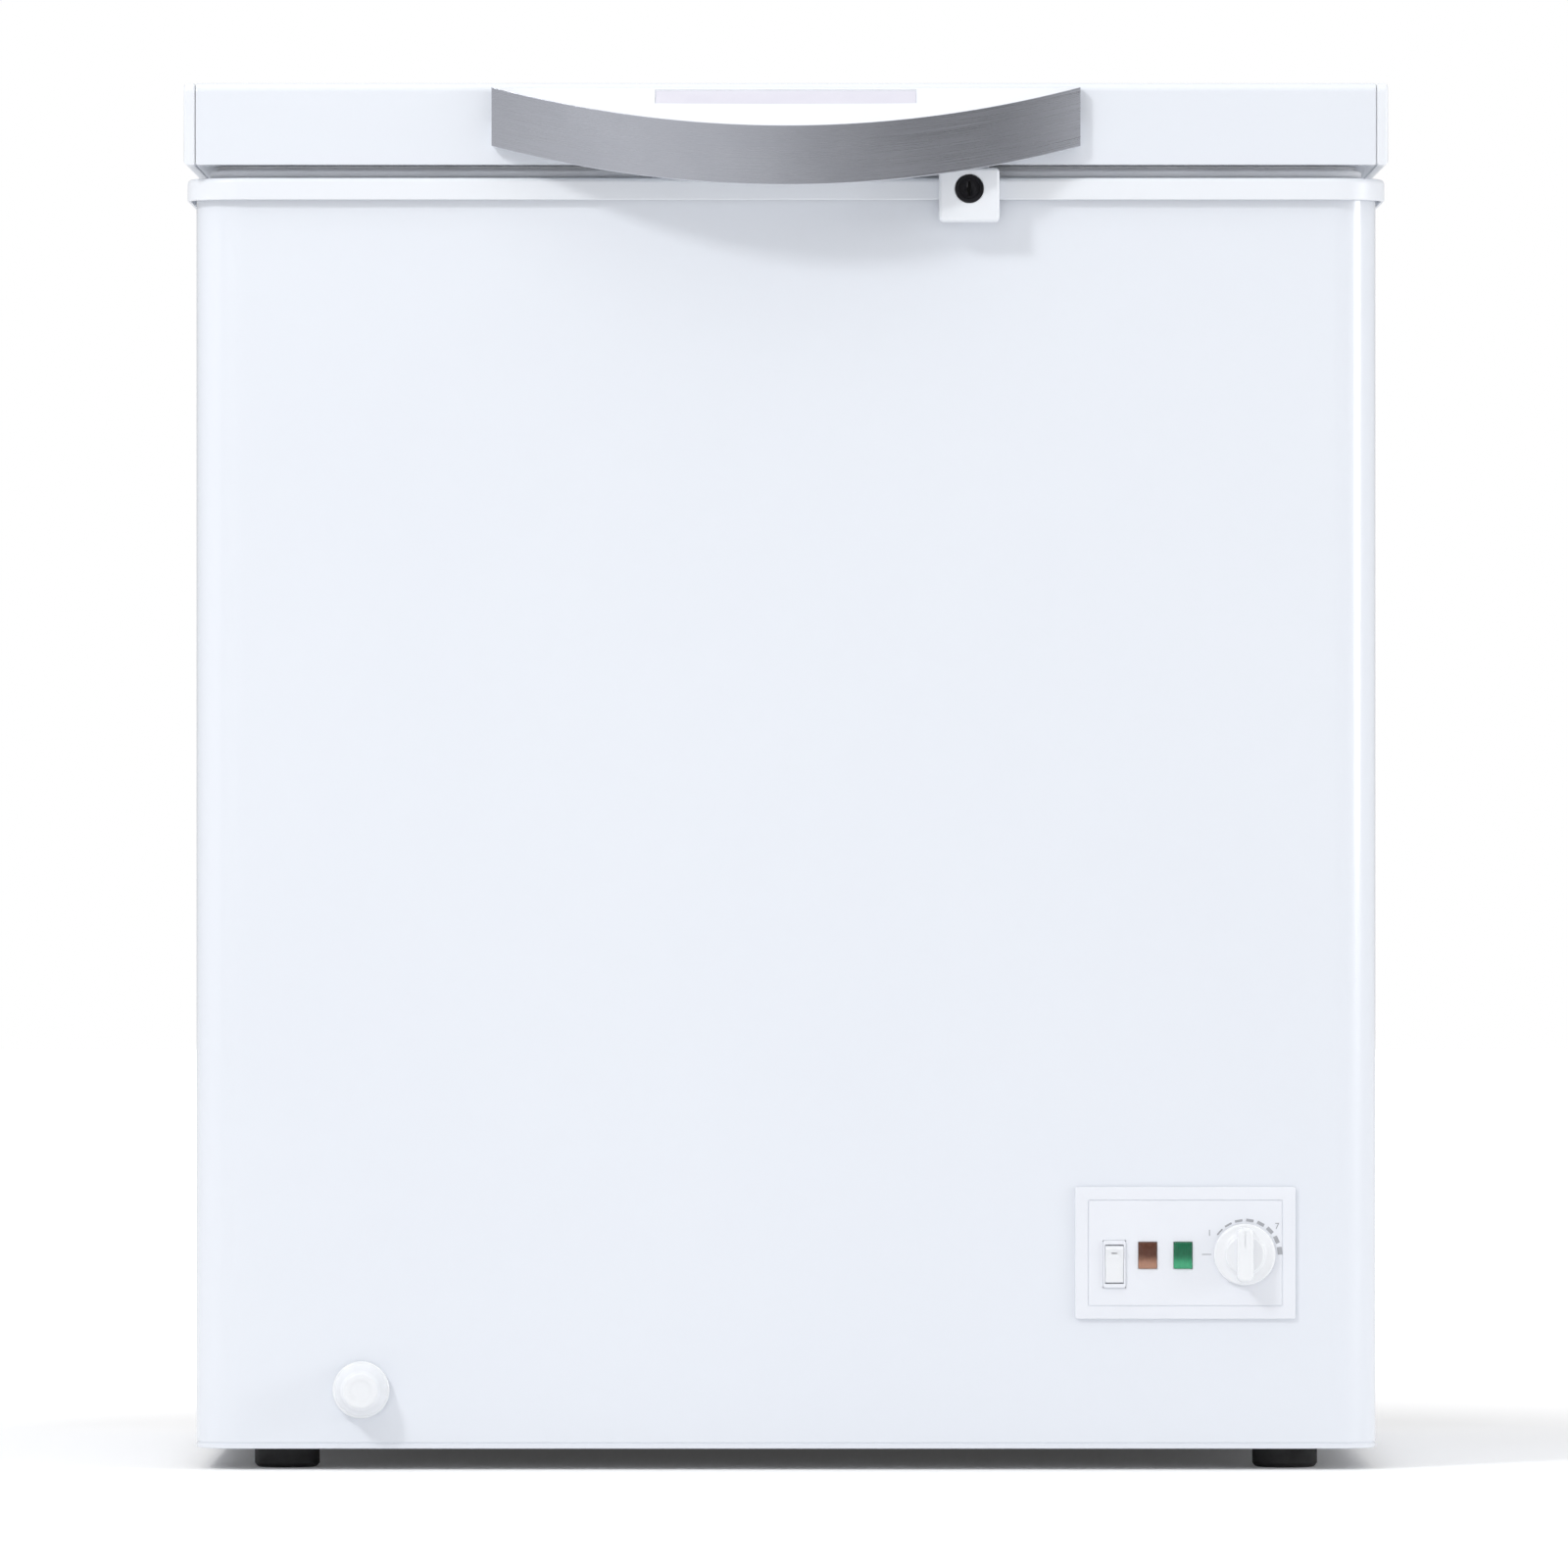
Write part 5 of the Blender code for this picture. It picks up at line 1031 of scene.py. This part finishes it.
handle = {"endReach": 0.008, "drop": 0.025, "bandTall": 0.036, "bandSheet": 0.0010, "wall": 0.003, "gap": 0.0003,
          "flange": 0.022, "stations": 84, "edge": 0.0007, "endEdge": 0.0009, "bandEdge": 0.0003,
          "recessHalf": 0.080, "recessFront": 0.0185, "recessBack": 0.0016, "recessDepth": 0.0012,
          "recessStations": 25, "inlay": 0.0005, "inlayGap": 0.0006, "inlayLift": 0.00005}
bandLow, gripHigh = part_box("handle_band")[0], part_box("handle_body")[1]
bowHalf = gripHigh.x


def bowStation(share):
    fullness = 1 - share * share
    reach = handle["endReach"] + (lidFront - bandLow.y - handle["endReach"]) * fullness
    return reach, gripHigh.z - handle["drop"] * fullness


def bowStations():
    for number in range(handle["stations"] + 1):
        share = 2 * number / handle["stations"] - 1
        reach, top = bowStation(share)
        yield share * bowHalf, lidFront - reach, top


def shelfPoint(x, out, lift):
    # a point on the shelf, some way out from the lid
    reach, top = bowStation(x / bowHalf)
    share = out / (reach - handle["bandSheet"] - handle["gap"])
    return Vector((x, lidFront - handle["gap"] - out, gripHigh.z + (top - gripHigh.z) * share + lift))


def recessSolid(name, finish, gap, low, high):
    half, back, front = (handle["recessHalf"] - gap, handle["recessBack"] + gap, handle["recessFront"] - gap)
    last = handle["recessStations"] - 1
    spots = [half * (2 * number / last - 1) for number in range(last + 1)]
    return loft(name, [[shelfPoint(x, out, lift) for out, lift in (
        (back, low), (front, low), (front, high), (back, high))] for x in spots], finish)


def buildHandle():
    back, top = lidFront - handle["gap"], gripHigh.z
    skin, wall, tall = handle["bandSheet"] + handle["gap"], handle["wall"], handle["bandTall"]
    loops = []
    for x, front, brow in bowStations():
        inside = min(front + skin + wall, back - wall - 0.0005)
        loops.append(along(x, [
            (back, top), (front + skin, brow), (front + skin, brow - tall), (inside, brow - tall),
            (inside, brow - wall), (back - wall, top - wall), (back - wall, top - handle["flange"]),
            (back, top - handle["flange"])]))
    grip = loft("handleGrip", loops, "whiteMoulding", sharp=30)
    depth = handle["recessDepth"]
    cutAway(grip, recessSolid("tool", "whiteMoulding", 0, -depth, cutReach))
    softenEdges(grip, handle["edge"], 3, 40)
    reach, brow = bowStation(1)
    front = lidFront - reach + skin
    outline = [(back, top - 0.0002), (front, brow - 0.0002), (front, brow - tall), (back, brow - tall)]
    ends = [softenEdges(loft("bowEnd", [along(start, outline), along(end, outline)], "whiteMoulding"),
                        handle["endEdge"])
            for start, end in ((-bowHalf, wall - bowHalf), (bowHalf - wall, bowHalf))]
    setPiece(joinMeshes(grip, *ends), "lid", "handle_body")
    # a plate in the name recess; its darker colour is painted shade of the recess
    inlay = recessSolid("shelfInlay", "shelfInlay", handle["inlayGap"], handle["inlayLift"] - depth,
                        handle["inlay"] - depth)
    setPiece(softenEdges(inlay, 0.0002, 2), "lid")


def buildBand():
    # the scratches run along the bow, so the run map holds the length along it and the height
    sheet, edge, tall = handle["bandSheet"], handle["bandEdge"], handle["bandTall"]
    bm = bmesh.new()
    run = bm.loops.layers.uv.new("run")
    rings, lengths, length, before = [], [], 0.0, None
    for x, front, top in bowStations():
        spot, bottom = Vector((x, front)), top - tall
        length += (spot - before).length if before else 0.0
        before = spot
        lengths.append(length)
        rings.append(ringOf(bm, along(x, [
            (front + sheet, top), (front + edge, top), (front + edge * 0.3, top - edge * 0.3),
            (front, top - edge),
            (front, bottom + edge), (front + edge * 0.3, bottom + edge * 0.3), (front + edge, bottom),
            (front + sheet, bottom)])))
    heights = [0.037, 0.036, 0.0357, 0.0354, 0.0004, 0.0001, 0.0, -0.001]
    rows = len(heights)
    for number, (first, second) in enumerate(zip(rings, rings[1:])):
        for i in range(rows):
            j = (i + 1) % rows
            face = bm.faces.new((first[i], first[j], second[j], second[i]))
            spots = ((number, i), (number, j), (number + 1, j), (number + 1, i))
            for corner, (station, row) in zip(face.loops, spots):
                corner[run].uv = (lengths[station], heights[row] if j else row * 0.0001)
    for ring in (rings[0], rings[-1]):
        face = bm.faces.new(ring)
        for corner, row in zip(face.loops, range(rows)):
            corner[run].uv = (0.001 * (row in (0, rows - 1)), heights[row])
    setPiece(makeObject("handleBand", bm, "silverBand", sharp=50), "lid", "handle_band")


buildHandle()
buildBand()
print("handle made")

# lock block and key cylinder; the face's rows are insets from its radius and depths behind its front

lock = {"edge": 0.0022, "corner": 0.0030, "wall": 0.0015, "bore": 0.0003, "rimBore": 0.0006, "above": 0.0036,
        "tongueSlot": ((0.005, 0.001, 0.0028), (0.013, 0.01, 0.0094)),
        "radius": 0.0085, "back": 0.0086,
        "faceRows": ((0, 0.0006), (0.0003, 0.0001), (0.0007, 0), (0.0022, 0), (0.0026, 0.0008), (0.0036, 0.0008),
                     (0.0038, 0.0003)),
        "keyTall": 0.0044, "keyHalf": 0.00085, "keyWard": (-0.0017, 0.0004), "keyDepth": 0.0055,
        "camHalf": 0.0025, "camLength": 0.0105, "camFront": 0.0010, "camBack": 0.0024}


def buildLock():
    wide, tall, deep, place = frontBox("lock_housing", trimLow.y)
    edge, wall, corner = lock["edge"], lock["wall"], lock["corner"]
    rows = [(0, corner, 0.0003)]
    rows += [(inset, corner - inset * 0.8, deep - edge + rise) for inset, rise in roundedEdge(edge, 0, 90, 6)]
    case = loft("lockBlock", plateStack(wide, tall, rows), "whiteMoulding", matrix=place, sharp=40)
    centre = place @ Matrix.Translation((0, lock["above"], 0))
    halfX, halfZ, radius = wide / 2 - wall, tall / 2 - wall, lock["radius"]
    bore, rim = radius + lock["bore"], radius + lock["bore"] + lock["rimBore"]
    (slotLeft, under, slotBack), (slotRight, over, slotFront) = lock["tongueSlot"]
    cutAway(case, boxTool((-halfX, -halfZ, 0.0018), (halfX, halfZ, deep - wall), place),
            boxTool((slotLeft, halfZ - under, slotBack), (slotRight, halfZ + over, slotFront), place),
            turned("tool", [(bore, 0.010), (bore, deep - 0.0005), (rim, deep + 0.0001), (rim, 0.03)],
                   "whiteMoulding", matrix=centre))
    setPiece(case, "cabinet", "lock_housing")
    face, back = frontBox("lock_cylinder", trimLow.y)[2], lock["back"]
    profile = [(radius, back)] + [(radius - inset, face - behind) for inset, behind in lock["faceRows"]]
    cylinder = turned("lockCylinder", profile, "lockMetal", matrix=centre)
    half, tall, (left, right) = lock["keyHalf"], lock["keyTall"], lock["keyWard"]
    foot, out = face - lock["keyDepth"], face + cutReach
    cutAway(cylinder, boxTool((-half, -tall, foot), (half, tall, out), centre),
            boxTool((left, -tall * 0.45, foot), (right, tall * 0.2, out), centre))
    half = lock["camHalf"]
    cam = boxTool((-half, -half, back - lock["camBack"]), (half, lock["camLength"], back + lock["camFront"]),
                  centre)
    setPiece(joinMeshes(cylinder, softenEdges(cam, 0.0003, 2)), "lock", "lock_cylinder")


buildLock()
print("lock made")

# control panel with its groove, dial print, switch, lamps and knob

panel = {"edge": 0.0009, "slope": 0.0006, "frame": 0.0078, "groove": 0.0007, "grooveDepth": 0.0006,
         "corner": 0.0016, "holeGap": 0.00012, "spindleHole": 0.004, "printLift": 0.00012}
panelWide, panelTall, panelFace, panelPlace = frontBox("control_panel", frontY)
panelAt, knobAt = middle("control_panel"), middle("thermostat_knob")
knobPlace = panelPlace @ Matrix.Translation((knobAt[0] - panelAt[0], knobAt[1] - panelAt[1], 0))
# angles in degrees from the right; a figure has its angle and its distance from the knob's axis
dial = {"inner": 0.0201, "count": 8, "start": 138, "end": 6, "first": 0.0009, "last": 0.0028, "tileWidth": 0.0046,
        "tickFrom": 0.0205, "tickTo": 0.0262, "tickWidth": 0.0005, "figureSize": 0.0054, "figureBold": 0.00002,
        "figures": (("1", 149, 0.0252), ("7", 41, 0.0262))}


def buildPanel():
    rim, edge, corner = panel["frame"], panel["edge"], panel["corner"]
    floor, inner = panelFace - panel["grooveDepth"], panel["frame"] + panel["groove"]
    rows = [(0, corner, 0.0003)]
    rows += [(inset, corner - inset, panelFace - panel["slope"] - edge + rise)
             for inset, rise in roundedEdge(edge, 0, 75, 5)]
    rows += [(rim - 0.0003, 0.0016, panelFace), (rim, 0.0014, panelFace - 0.0001), (rim, 0.0014, floor),
             (inner, 0.0010, floor), (inner, 0.0010, panelFace - 0.00025),
             (inner + 0.00025, 0.0008, panelFace - 0.0001)]
    loops = plateStack(panelWide, panelTall, rows)
    made = loft("controlPanel", loops, "panelMoulding", matrix=panelPlace, sharp=25)
    holes = [frontTool(node, panel["holeGap"]) for node in ("switch_housing", "orange_lamp", "green_lamp")]
    cutAway(made, *holes, roundTool(panel["spindleHole"], knobPlace, 32))
    setPiece(made, "cabinet", "control_panel")


def buildDialPrint():
    lift = panel["printLift"]
    centre = knobPlace @ Matrix.Translation((0, 0, panelFace - lift / 2))
    made = growTree("dialPrint", dialScale, {
        "Inner radius": dial["inner"], "Count": dial["count"], "Start angle": math.radians(dial["start"]),
        "End angle": math.radians(dial["end"]), "First length": dial["first"], "Last length": dial["last"],
        "Tile width": dial["tileWidth"], "Tile thickness": lift}, "printInk", matrix=centre)
    half = dial["tickWidth"] / 2
    extras = [boxTool((-dial["tickTo"], -half, -lift / 2), (-dial["tickFrom"], half, lift / 2), centre)]
    for figure, angle, radius in dial["figures"]:
        text = bpy.data.curves.new("figure", "FONT")
        text.body, text.size, text.offset = figure, dial["figureSize"], dial["figureBold"]
        text.align_x, text.align_y = "CENTER", "CENTER"
        text.extrude = lift / 2
        holder = linked("figure", text)
        mesh = evaluated(holder)
        bpy.data.objects.remove(holder)
        mesh.transform(centre @ Matrix.Translation((*circlePoint(radius, angle), 0)))
        extras.append(newObject("figure", mesh, "printInk"))
    setPiece(joinMeshes(made, *extras), "cabinet")


switch = {"corner": 0.0012, "edge": 0.0006, "back": -0.0120, "openTall": 0.0239, "openGap": 0.00024,
          "openCorner": 0.0005, "openBack": -0.0065}
rocker = {"radius": 0.0118, "tilt": 8, "dip": (0.003, 0.335), "edge": 0.00035, "markHalf": 0.0018,
          "mark": (0.60, 0.66), "markTop": 0.02}


def buildSwitch():
    wide, tall, face, place = frontBox("switch_housing", frontY)
    rockerWide = frontBox("rocker_switch", frontY)[0]
    edge, corner, sideways = switch["edge"], switch["corner"], (wide - rockerWide - switch["openGap"]) / 2
    rows = [(0, corner, switch["back"]), (0, corner, face - edge)]
    rows += [(inset, corner - inset * 0.5, face - edge + rise) for inset, rise in roundedEdge(edge, 0, 90, 4)]
    loops = plateStack(wide, tall, rows)
    corner = switch["openCorner"]
    loops += plateStack(wide - 2 * sideways, switch["openTall"], (
        (-0.0002, corner + 0.0001, face), (0, corner, face - 0.0003), (0, corner, switch["openBack"])))
    setPiece(loft("switchFrame", loops, "panelMoulding", matrix=place), "cabinet", "switch_housing")
    radius, (dip, depth) = rocker["radius"], rocker["dip"]
    outline = [circlePoint(radius, angle) for angle in range(-12, 29, 4)]
    outline += [(dip, radius * depth), (-dip, radius * depth)]
    outline += [circlePoint(radius, angle) for angle in range(152, 193, 4)]
    turn = place @ Matrix.Rotation(math.radians(rocker["tilt"]), 4, "X")
    ends = [along(x, outline) for x in (-rockerWide / 2, rockerWide / 2)]
    made = softenEdges(loft("rockerSwitch", ends, "knobMoulding", matrix=turn), rocker["edge"], 3, 30)
    half, (low, high) = rocker["markHalf"], rocker["mark"]
    cutAway(made, boxTool((-half, radius * low, 0.0), (half, radius * high, rocker["markTop"]), turn))
    setPiece(made, "rocker", "rocker_switch")


# rows of a lens: insets and rises of its edge
lamps = (("orange_lamp", "orangeLamp", "orangeLens"), ("green_lamp", "greenLamp", "greenLens"))
lamp = {"corner": 0.0010, "back": -0.0100, "crown": 0.0013, "rows": (
    (0.0001, 0.0004), (0.0004, 0.0008), (0.0009, 0.0011), (0.0018, 0.00125))}


def buildLamps():
    corner = lamp["corner"]
    for node, name, lens in lamps:
        wide, tall, face, place = frontBox(node, frontY)
        brink = face - lamp["crown"]
        rows = [(0, corner, lamp["back"]), (0, corner, brink)]
        rows += [(inset, corner - inset * 0.5, brink + rise) for inset, rise in lamp["rows"]]
        loops = plateStack(wide, tall, rows) + [plateLoop(wide * 0.4, tall * 0.4, 0.0006, face)]
        setPiece(loft(name, loops, lens, matrix=place), "cabinet", node)


# rows of the skirt's foot and of the hub: radii past the skirt's or the hub's, and heights over the panel
knob = {"skirt": 0.019, "hub": 0.012, "spindle": 0.003, "gap": 0.0004, "edge": 0.0018,
        "footRows": ((-0.0004, 0), (0, 0.0004), (-0.0002, 0.0016)),
        "hubRows": ((0.0022, 0.0040), (0.0010, 0.0046), (0.0003, 0.0056), (0, 0.0070), (-0.0004, 0.0078),
                    (-0.0015, 0.0084)),
        "gripWidth": 0.0105, "gripCorner": 0.0042, "gripEdge": 0.0022, "gripFoot": 0.0022,
        "pointer": 0.0009, "pointerFrom": 0.30, "pointerTo": 0.86, "pointerDepth": 0.0004}


def buildKnob():
    low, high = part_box("thermostat_knob")
    back, proud, edge = panelFace + knob["gap"], frontY - low.y, knob["edge"]
    side, turnZ = knob["skirt"] + knob["footRows"][-1][0], back + knob["footRows"][-1][1]
    profile = [(knob["spindle"], frontY - high.y), (knob["spindle"], back)]
    profile += [(knob["skirt"] + out, back + rise) for out, rise in knob["footRows"]]
    profile += [(side - inset, turnZ + rise) for inset, rise in roundedEdge(edge, 20, 90, 5)]
    profile += [(knob["hub"] + out, back + rise) for out, rise in knob["hubRows"]]
    body = turned("thermostatKnob", profile, "knobMoulding", matrix=knobPlace, sides=96, sharp=40)
    reach, wide, corner, crown = knob["skirt"] - edge, knob["gripWidth"], knob["gripCorner"], knob["gripEdge"]
    loops = [plateLoop(wide, 2 * reach, corner, back + knob["gripFoot"], steps=8),
             plateLoop(wide - 0.0004, 2 * reach - 0.0010, corner, proud - crown - 0.0008, steps=8)]
    loops += plateStack(wide - 0.0005, 2 * reach - 0.0012, [
        (inset, corner - 0.0002 - inset * 0.6, proud - crown + rise)
        for inset, rise in roundedEdge(crown, 10, 90, 6)], steps=8)
    grip = loft("gripBar", loops, "knobMoulding", matrix=knobPlace, sharp=40)
    half = knob["pointer"] / 2
    cutAway(grip, boxTool((-half, reach * knob["pointerFrom"], proud - knob["pointerDepth"]),
                          (half, reach * knob["pointerTo"], proud + cutReach), knobPlace))
    setPiece(joinMeshes(body, grip), "knob", "thermostat_knob")


buildPanel()
buildDialPrint()
buildSwitch()
buildLamps()
buildKnob()
print("control panel made")

# drain cap; the neck's and the face's rows are radii past the face's and heights behind its front

drainCap = {"radius": 0.0175, "face": 0.0110, "step": 0.0045, "edge": 0.0016, "socket": 0.0073,
            "socketWall": 0.004, "gap": 0.0003, "neck": (0.0032, 0.0105),
            "neckRows": ((0.0016, 0.0050), (0.0004, 0.0022)),
            "faceRows": ((-0.0040, 0), (-0.0046, 0.0005), (-0.0070, 0.0006))}


def buildDrainCap():
    _, _, proud, place = frontBox("drain_cap", frontY)
    radius, face, edge, gap, step = (drainCap[key] for key in ("radius", "face", "edge", "gap", "step"))
    socket = drainCap["socket"]
    profile = [(socket, proud - drainCap["socketWall"] + gap), (socket, gap), (radius - 0.0006, gap),
               (radius, 0.0010), (radius, step)]
    profile += [(radius - inset, step + rise) for inset, rise in roundedEdge(edge, 0, 80, 4)]
    profile.append((face + drainCap["neck"][0], drainCap["neck"][1]))
    profile += [(face + out, proud - behind) for out, behind in drainCap["neckRows"]]
    profile += [(face - inset, proud - edge + rise) for inset, rise in roundedEdge(edge, 10, 90, 5)]
    profile += [(face + out, proud - behind) for out, behind in drainCap["faceRows"]]
    setPiece(turned("drainCap", profile, "knobMoulding", matrix=place, sides=80, sharp=40), "cap", "drain_cap")


buildDrainCap()

# hinge springs, wound on the pins

springs = {"turns": 5.0, "wire": 0.0008}


def buildSprings():
    wire = springs["wire"]
    for side in ("left", "right"):
        node = "hinge_spring_" + side
        low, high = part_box(node)
        place = Matrix.Translation((low.x + wire, (low.y + high.y) / 2, (low.z + high.z) / 2))
        made = growTree(camelName(node), coil, {
            "Turns": springs["turns"], "Coil radius": (high.z - low.z) / 2 - wire, "Wire radius": wire,
            "Height": high.x - low.x - 2 * wire}, "springWire", matrix=place @ quarterTurn("Y"))
        setPiece(made, bodyOf[node], node)


buildSprings()

# screws of the hinges, with those of the back and the grille; insets are from a plate's sides, ups from
# the foot of a base plate and downs from the top of a leaf

baseScrews = {"Head radius": 0.0036, "Head height": 0.0018, "Slot width": 0.0009}
leafScrews = {"Head radius": 0.0030, "Head height": 0.0015, "Slot width": 0.0008}
screws = {"baseInset": 0.005, "baseUps": (0.010, 0.035, 0.060), "baseFace": 0.0033,
          "leafInset": 0.006, "leafDowns": (0.008, 0.026), "leafFace": 0.0028}


def plateSpots(kind, y, inset, heights):
    spots = []
    for side in ("left", "right"):
        low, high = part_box(kind + side)
        spots += [(x, y, z) for x in (low.x + inset, high.x - inset) for z in heights(low, high)]
    return spots


def buildScrews():
    onBase = plateSpots("hinge_base_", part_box("back_panel")[1].y + screws["baseFace"], screws["baseInset"],
                        lambda low, high: [low.z + up for up in screws["baseUps"]])
    onLeaf = plateSpots("hinge_leaf_", lidBack + screws["leafFace"], screws["leafInset"],
                        lambda low, high: [high.z - down for down in screws["leafDowns"]])
    back, side = (0, 1, 0), (1, 0, 0)
    facing = back * len(backSpots) + side * len(grilleSpots) + back * len(onBase)
    for name, body, sizes, spots, directions in (
            ("cabinetScrews", "cabinet", baseScrews, backSpots + grilleSpots + onBase, facing),
            ("lidScrews", "lid", leafScrews, onLeaf, back * len(onLeaf))):
        points = pointMesh(spots, directions)
        setPiece(growTree(name, screwField, sizes, "springWire", source=points, sharp=35), body)


buildScrews()

# compressor can with softened edges, from the part's own shape

can = softenEdges(makeObject("compressorCan", welded("compressor"), "blackSteel", sharp=45), 0.0010, 3, 45)
setPiece(can, "cabinet", "compressor")
print("cooling parts made")

# storage basket bent and welded from coated wire

basket = {"frameWire": 0.0019, "wire": 0.0014, "corner": 0.012, "taper": 0.006, "pitch": 0.024, "bend": 0.012,
          "bendSteps": 6, "hook": 0.011, "acrossMargin": 0.016, "alongMargin": 0.020}


def buildBasket():
    low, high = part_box("storage_basket")
    thick, thin, taper, hook = (basket[key] for key in ("frameWire", "wire", "taper", "hook"))
    top = high.z - thick
    halfX, halfY = (high.x - low.x) / 2 - thick, (high.y - low.y) / 2 - hook
    drop = top - low.z - thin
    matrix = Matrix.Translation(((low.x + high.x) / 2, (low.y + high.y) / 2, top))

    def ring(half, deep, z, wire, name="basketRing"):
        corners = [(-half, -deep, z), (half, -deep, z), (half, deep, z), (-half, deep, z)]
        return growTree(name, wirePath, {
            "Wire radius": wire, "Bend radius": basket["corner"], "Bend steps": basket["bendSteps"]},
            "coatedWire", source=closedChain(corners), matrix=matrix)

    def row(name, span, fall, reach, place):
        count = int(2 * reach / basket["pitch"]) + 1
        return growTree(name, wireRow, {
            "Half span": span, "Drop": fall, "Taper": taper, "Count": count, "Pitch": 2 * reach / (count - 1),
            "Start": -reach, "Wire radius": thin, "Bend radius": basket["bend"]}, "coatedWire", matrix=place)

    parts = [ring(halfX, (high.y - low.y) / 2 - thick, 0.0, thick),
             ring(halfX - taper * 0.5, halfY - thin - taper * 0.5, -drop * 0.45, thin),
             ring(halfX - taper + thin, halfY - taper - thin, -drop + thin * 2, thin),
             row("basketAcross", halfY - thin * 0.5, drop, halfX - basket["acrossMargin"], matrix),
             row("basketAlong", halfX - thin * 0.5, drop - 2 * thin, halfY - basket["alongMargin"],
                 matrix @ quarterTurn("Z"))]
    body = ring(halfX, halfY - thin, 0.0, thin, "wireBasket")
    setPiece(joinMeshes(body, *parts), "basket", "storage_basket")


buildBasket()
print("basket made")

# camera, floor and light

view = {"distance": 9.0, "lens": 337.5, "side": -0.0012, "height": 0.42, "sensor": 36.0, "reach": 50.0}
studio = {
    "backdrop": 1.0, "strength": 0.645,
    # greys round the object by degrees from the front, positive to the right; ringScale is the ring's white
    "ring": ((-180, 0.85), (-120, 0.60), (-92, 1.00), (-62, 1.35), (-46, 0.52), (-32, 1.18), (-8, 1.12),
             (2, 0.70), (16, 0.28), (32, 0.10), (45, 0.18), (58, 1.50), (88, 1.50), (106, 0.80), (140, 0.62),
             (180, 0.85)),
    "ringScale": 1.6, "zenith": 1.60, "zenithRise": (0.38, 0.80), "aim": (0, 0, 0.42),
    "floor": (0.94, 0.94, 0.945), "floorHalf": 14, "floorGlow": (0.05, 0.55), "glowReach": (0.60, 1.50),
    "key": {"place": (-2.1, -2.6, 2.9), "size": 0.55, "power": 46.0},
    "top": {"place": (0.0, -0.6, 3.2), "size": 2.2, "power": 8.0},
    "fill": {"place": (3.7, -1.35, 0.9), "size": 1.1, "power": 27.0},
}


def buildCamera():
    data = bpy.data.cameras.new("camera")
    data.lens, data.sensor_width, data.clip_end = view["lens"], view["sensor"], view["reach"]
    camera = linked("camera", data)
    camera.location = (view["side"], frontY - view["distance"], view["height"])
    camera.rotation_euler = (math.pi / 2, 0, 0)
    bpy.context.scene.camera = camera


def buildFloor():
    material, tree, shader = newMaterial("paleFloor")
    place, pale, half = objectPlace(tree), studio["floor"], studio["floorHalf"]
    faint = tuple(value * 0.99 for value in pale)
    # away from the object the floor runs out into the white backdrop
    away = addNode(tree, "ShaderNodeVectorMath", {0: place}, operation="LENGTH").outputs["Value"]
    (dim, full), (near, far) = studio["floorGlow"], studio["glowReach"]
    glow = shade(tree, "MapRange", {
        "Value": away, "From Min": near, "From Max": far, "To Min": dim, "To Max": full})
    seen = addNode(tree, "ShaderNodeLightPath").outputs["Is Camera Ray"]
    setInputs(shader, {
        "Base Color": colourMix(tree, noiseOf(tree, place, 3.0), (*pale, 1), (*faint, 1)), "Roughness": 0.85,
        "Specular IOR Level": 0.1, "Emission Color": (1, 1, 1, 1),
        "Emission Strength": mathOf(tree, "MULTIPLY", glow, seen)})
    mesh = bpy.data.meshes.new("studioFloor")
    corners = [(-half, -half, 0), (half, -half, 0), (half, half, 0), (-half, half, 0)]
    mesh.from_pydata(corners, [], [(0, 1, 2, 3)])
    mesh.materials.append(material)
    linked("studioFloor", mesh)


def buildWorld():
    world = bpy.data.worlds.new("studio")
    world.use_nodes = True
    bpy.context.scene.world = world
    tree, scale, stops = world.node_tree, studio["ringScale"], studio["ring"]
    tree.nodes.clear()
    heading = addNode(tree, "ShaderNodeSeparateXYZ",
                      {0: addNode(tree, "ShaderNodeTexCoord").outputs["Generated"]}).outputs
    bearing = mathOf(tree, "ARCTAN2", heading[0], mathOf(tree, "MULTIPLY", heading[1], -1.0))
    share = shade(tree, "MapRange", {"Value": bearing, "From Min": -math.pi, "From Max": math.pi})
    ring = addNode(tree, "ShaderNodeValToRGB", {0: share})
    elements = ring.color_ramp.elements
    elements[0].position, elements[1].position = 0.0, 1.0
    for spot, (angle, grey) in enumerate(stops):
        element = elements[0] if spot == 0 else (
            elements[-1] if spot == len(stops) - 1 else elements.new(angle / 360 + 0.5))
        element.color = (grey / scale, grey / scale, grey / scale, 1)
    start, end = studio["zenithRise"]
    up = shade(tree, "MapRange", {"Value": heading[2], "From Min": start, "From Max": end})
    bright = studio["zenith"] / scale
    sky = colourMix(tree, up, ring.outputs[0], (bright, bright, bright, 1))
    seen = addNode(tree, "ShaderNodeLightPath").outputs["Is Camera Ray"]
    glow = shade(tree, "Background", {0: sky, 1: studio["strength"] * scale})
    plain = shade(tree, "Background", {0: (1, 1, 1, 1), 1: studio["backdrop"]})
    addNode(tree, "ShaderNodeOutputWorld", {0: shade(tree, "MixShader", {0: seen, 1: glow, 2: plain})})


def buildLights():
    for name in ("key", "top", "fill"):
        values = studio[name]
        data = bpy.data.lights.new(name, "AREA")
        data.shape, data.size, data.energy = "SQUARE", values["size"], values["power"]
        light = linked(name, data)
        light.location = values["place"]
        light.rotation_euler = (Vector(studio["aim"]) - light.location).to_track_quat("-Z", "Y").to_euler()


buildCamera()
buildFloor()
buildWorld()
buildLights()
bpy.context.scene.view_settings.view_transform = "Standard"
bpy.context.scene.view_settings.look = "None"
print("studio made")
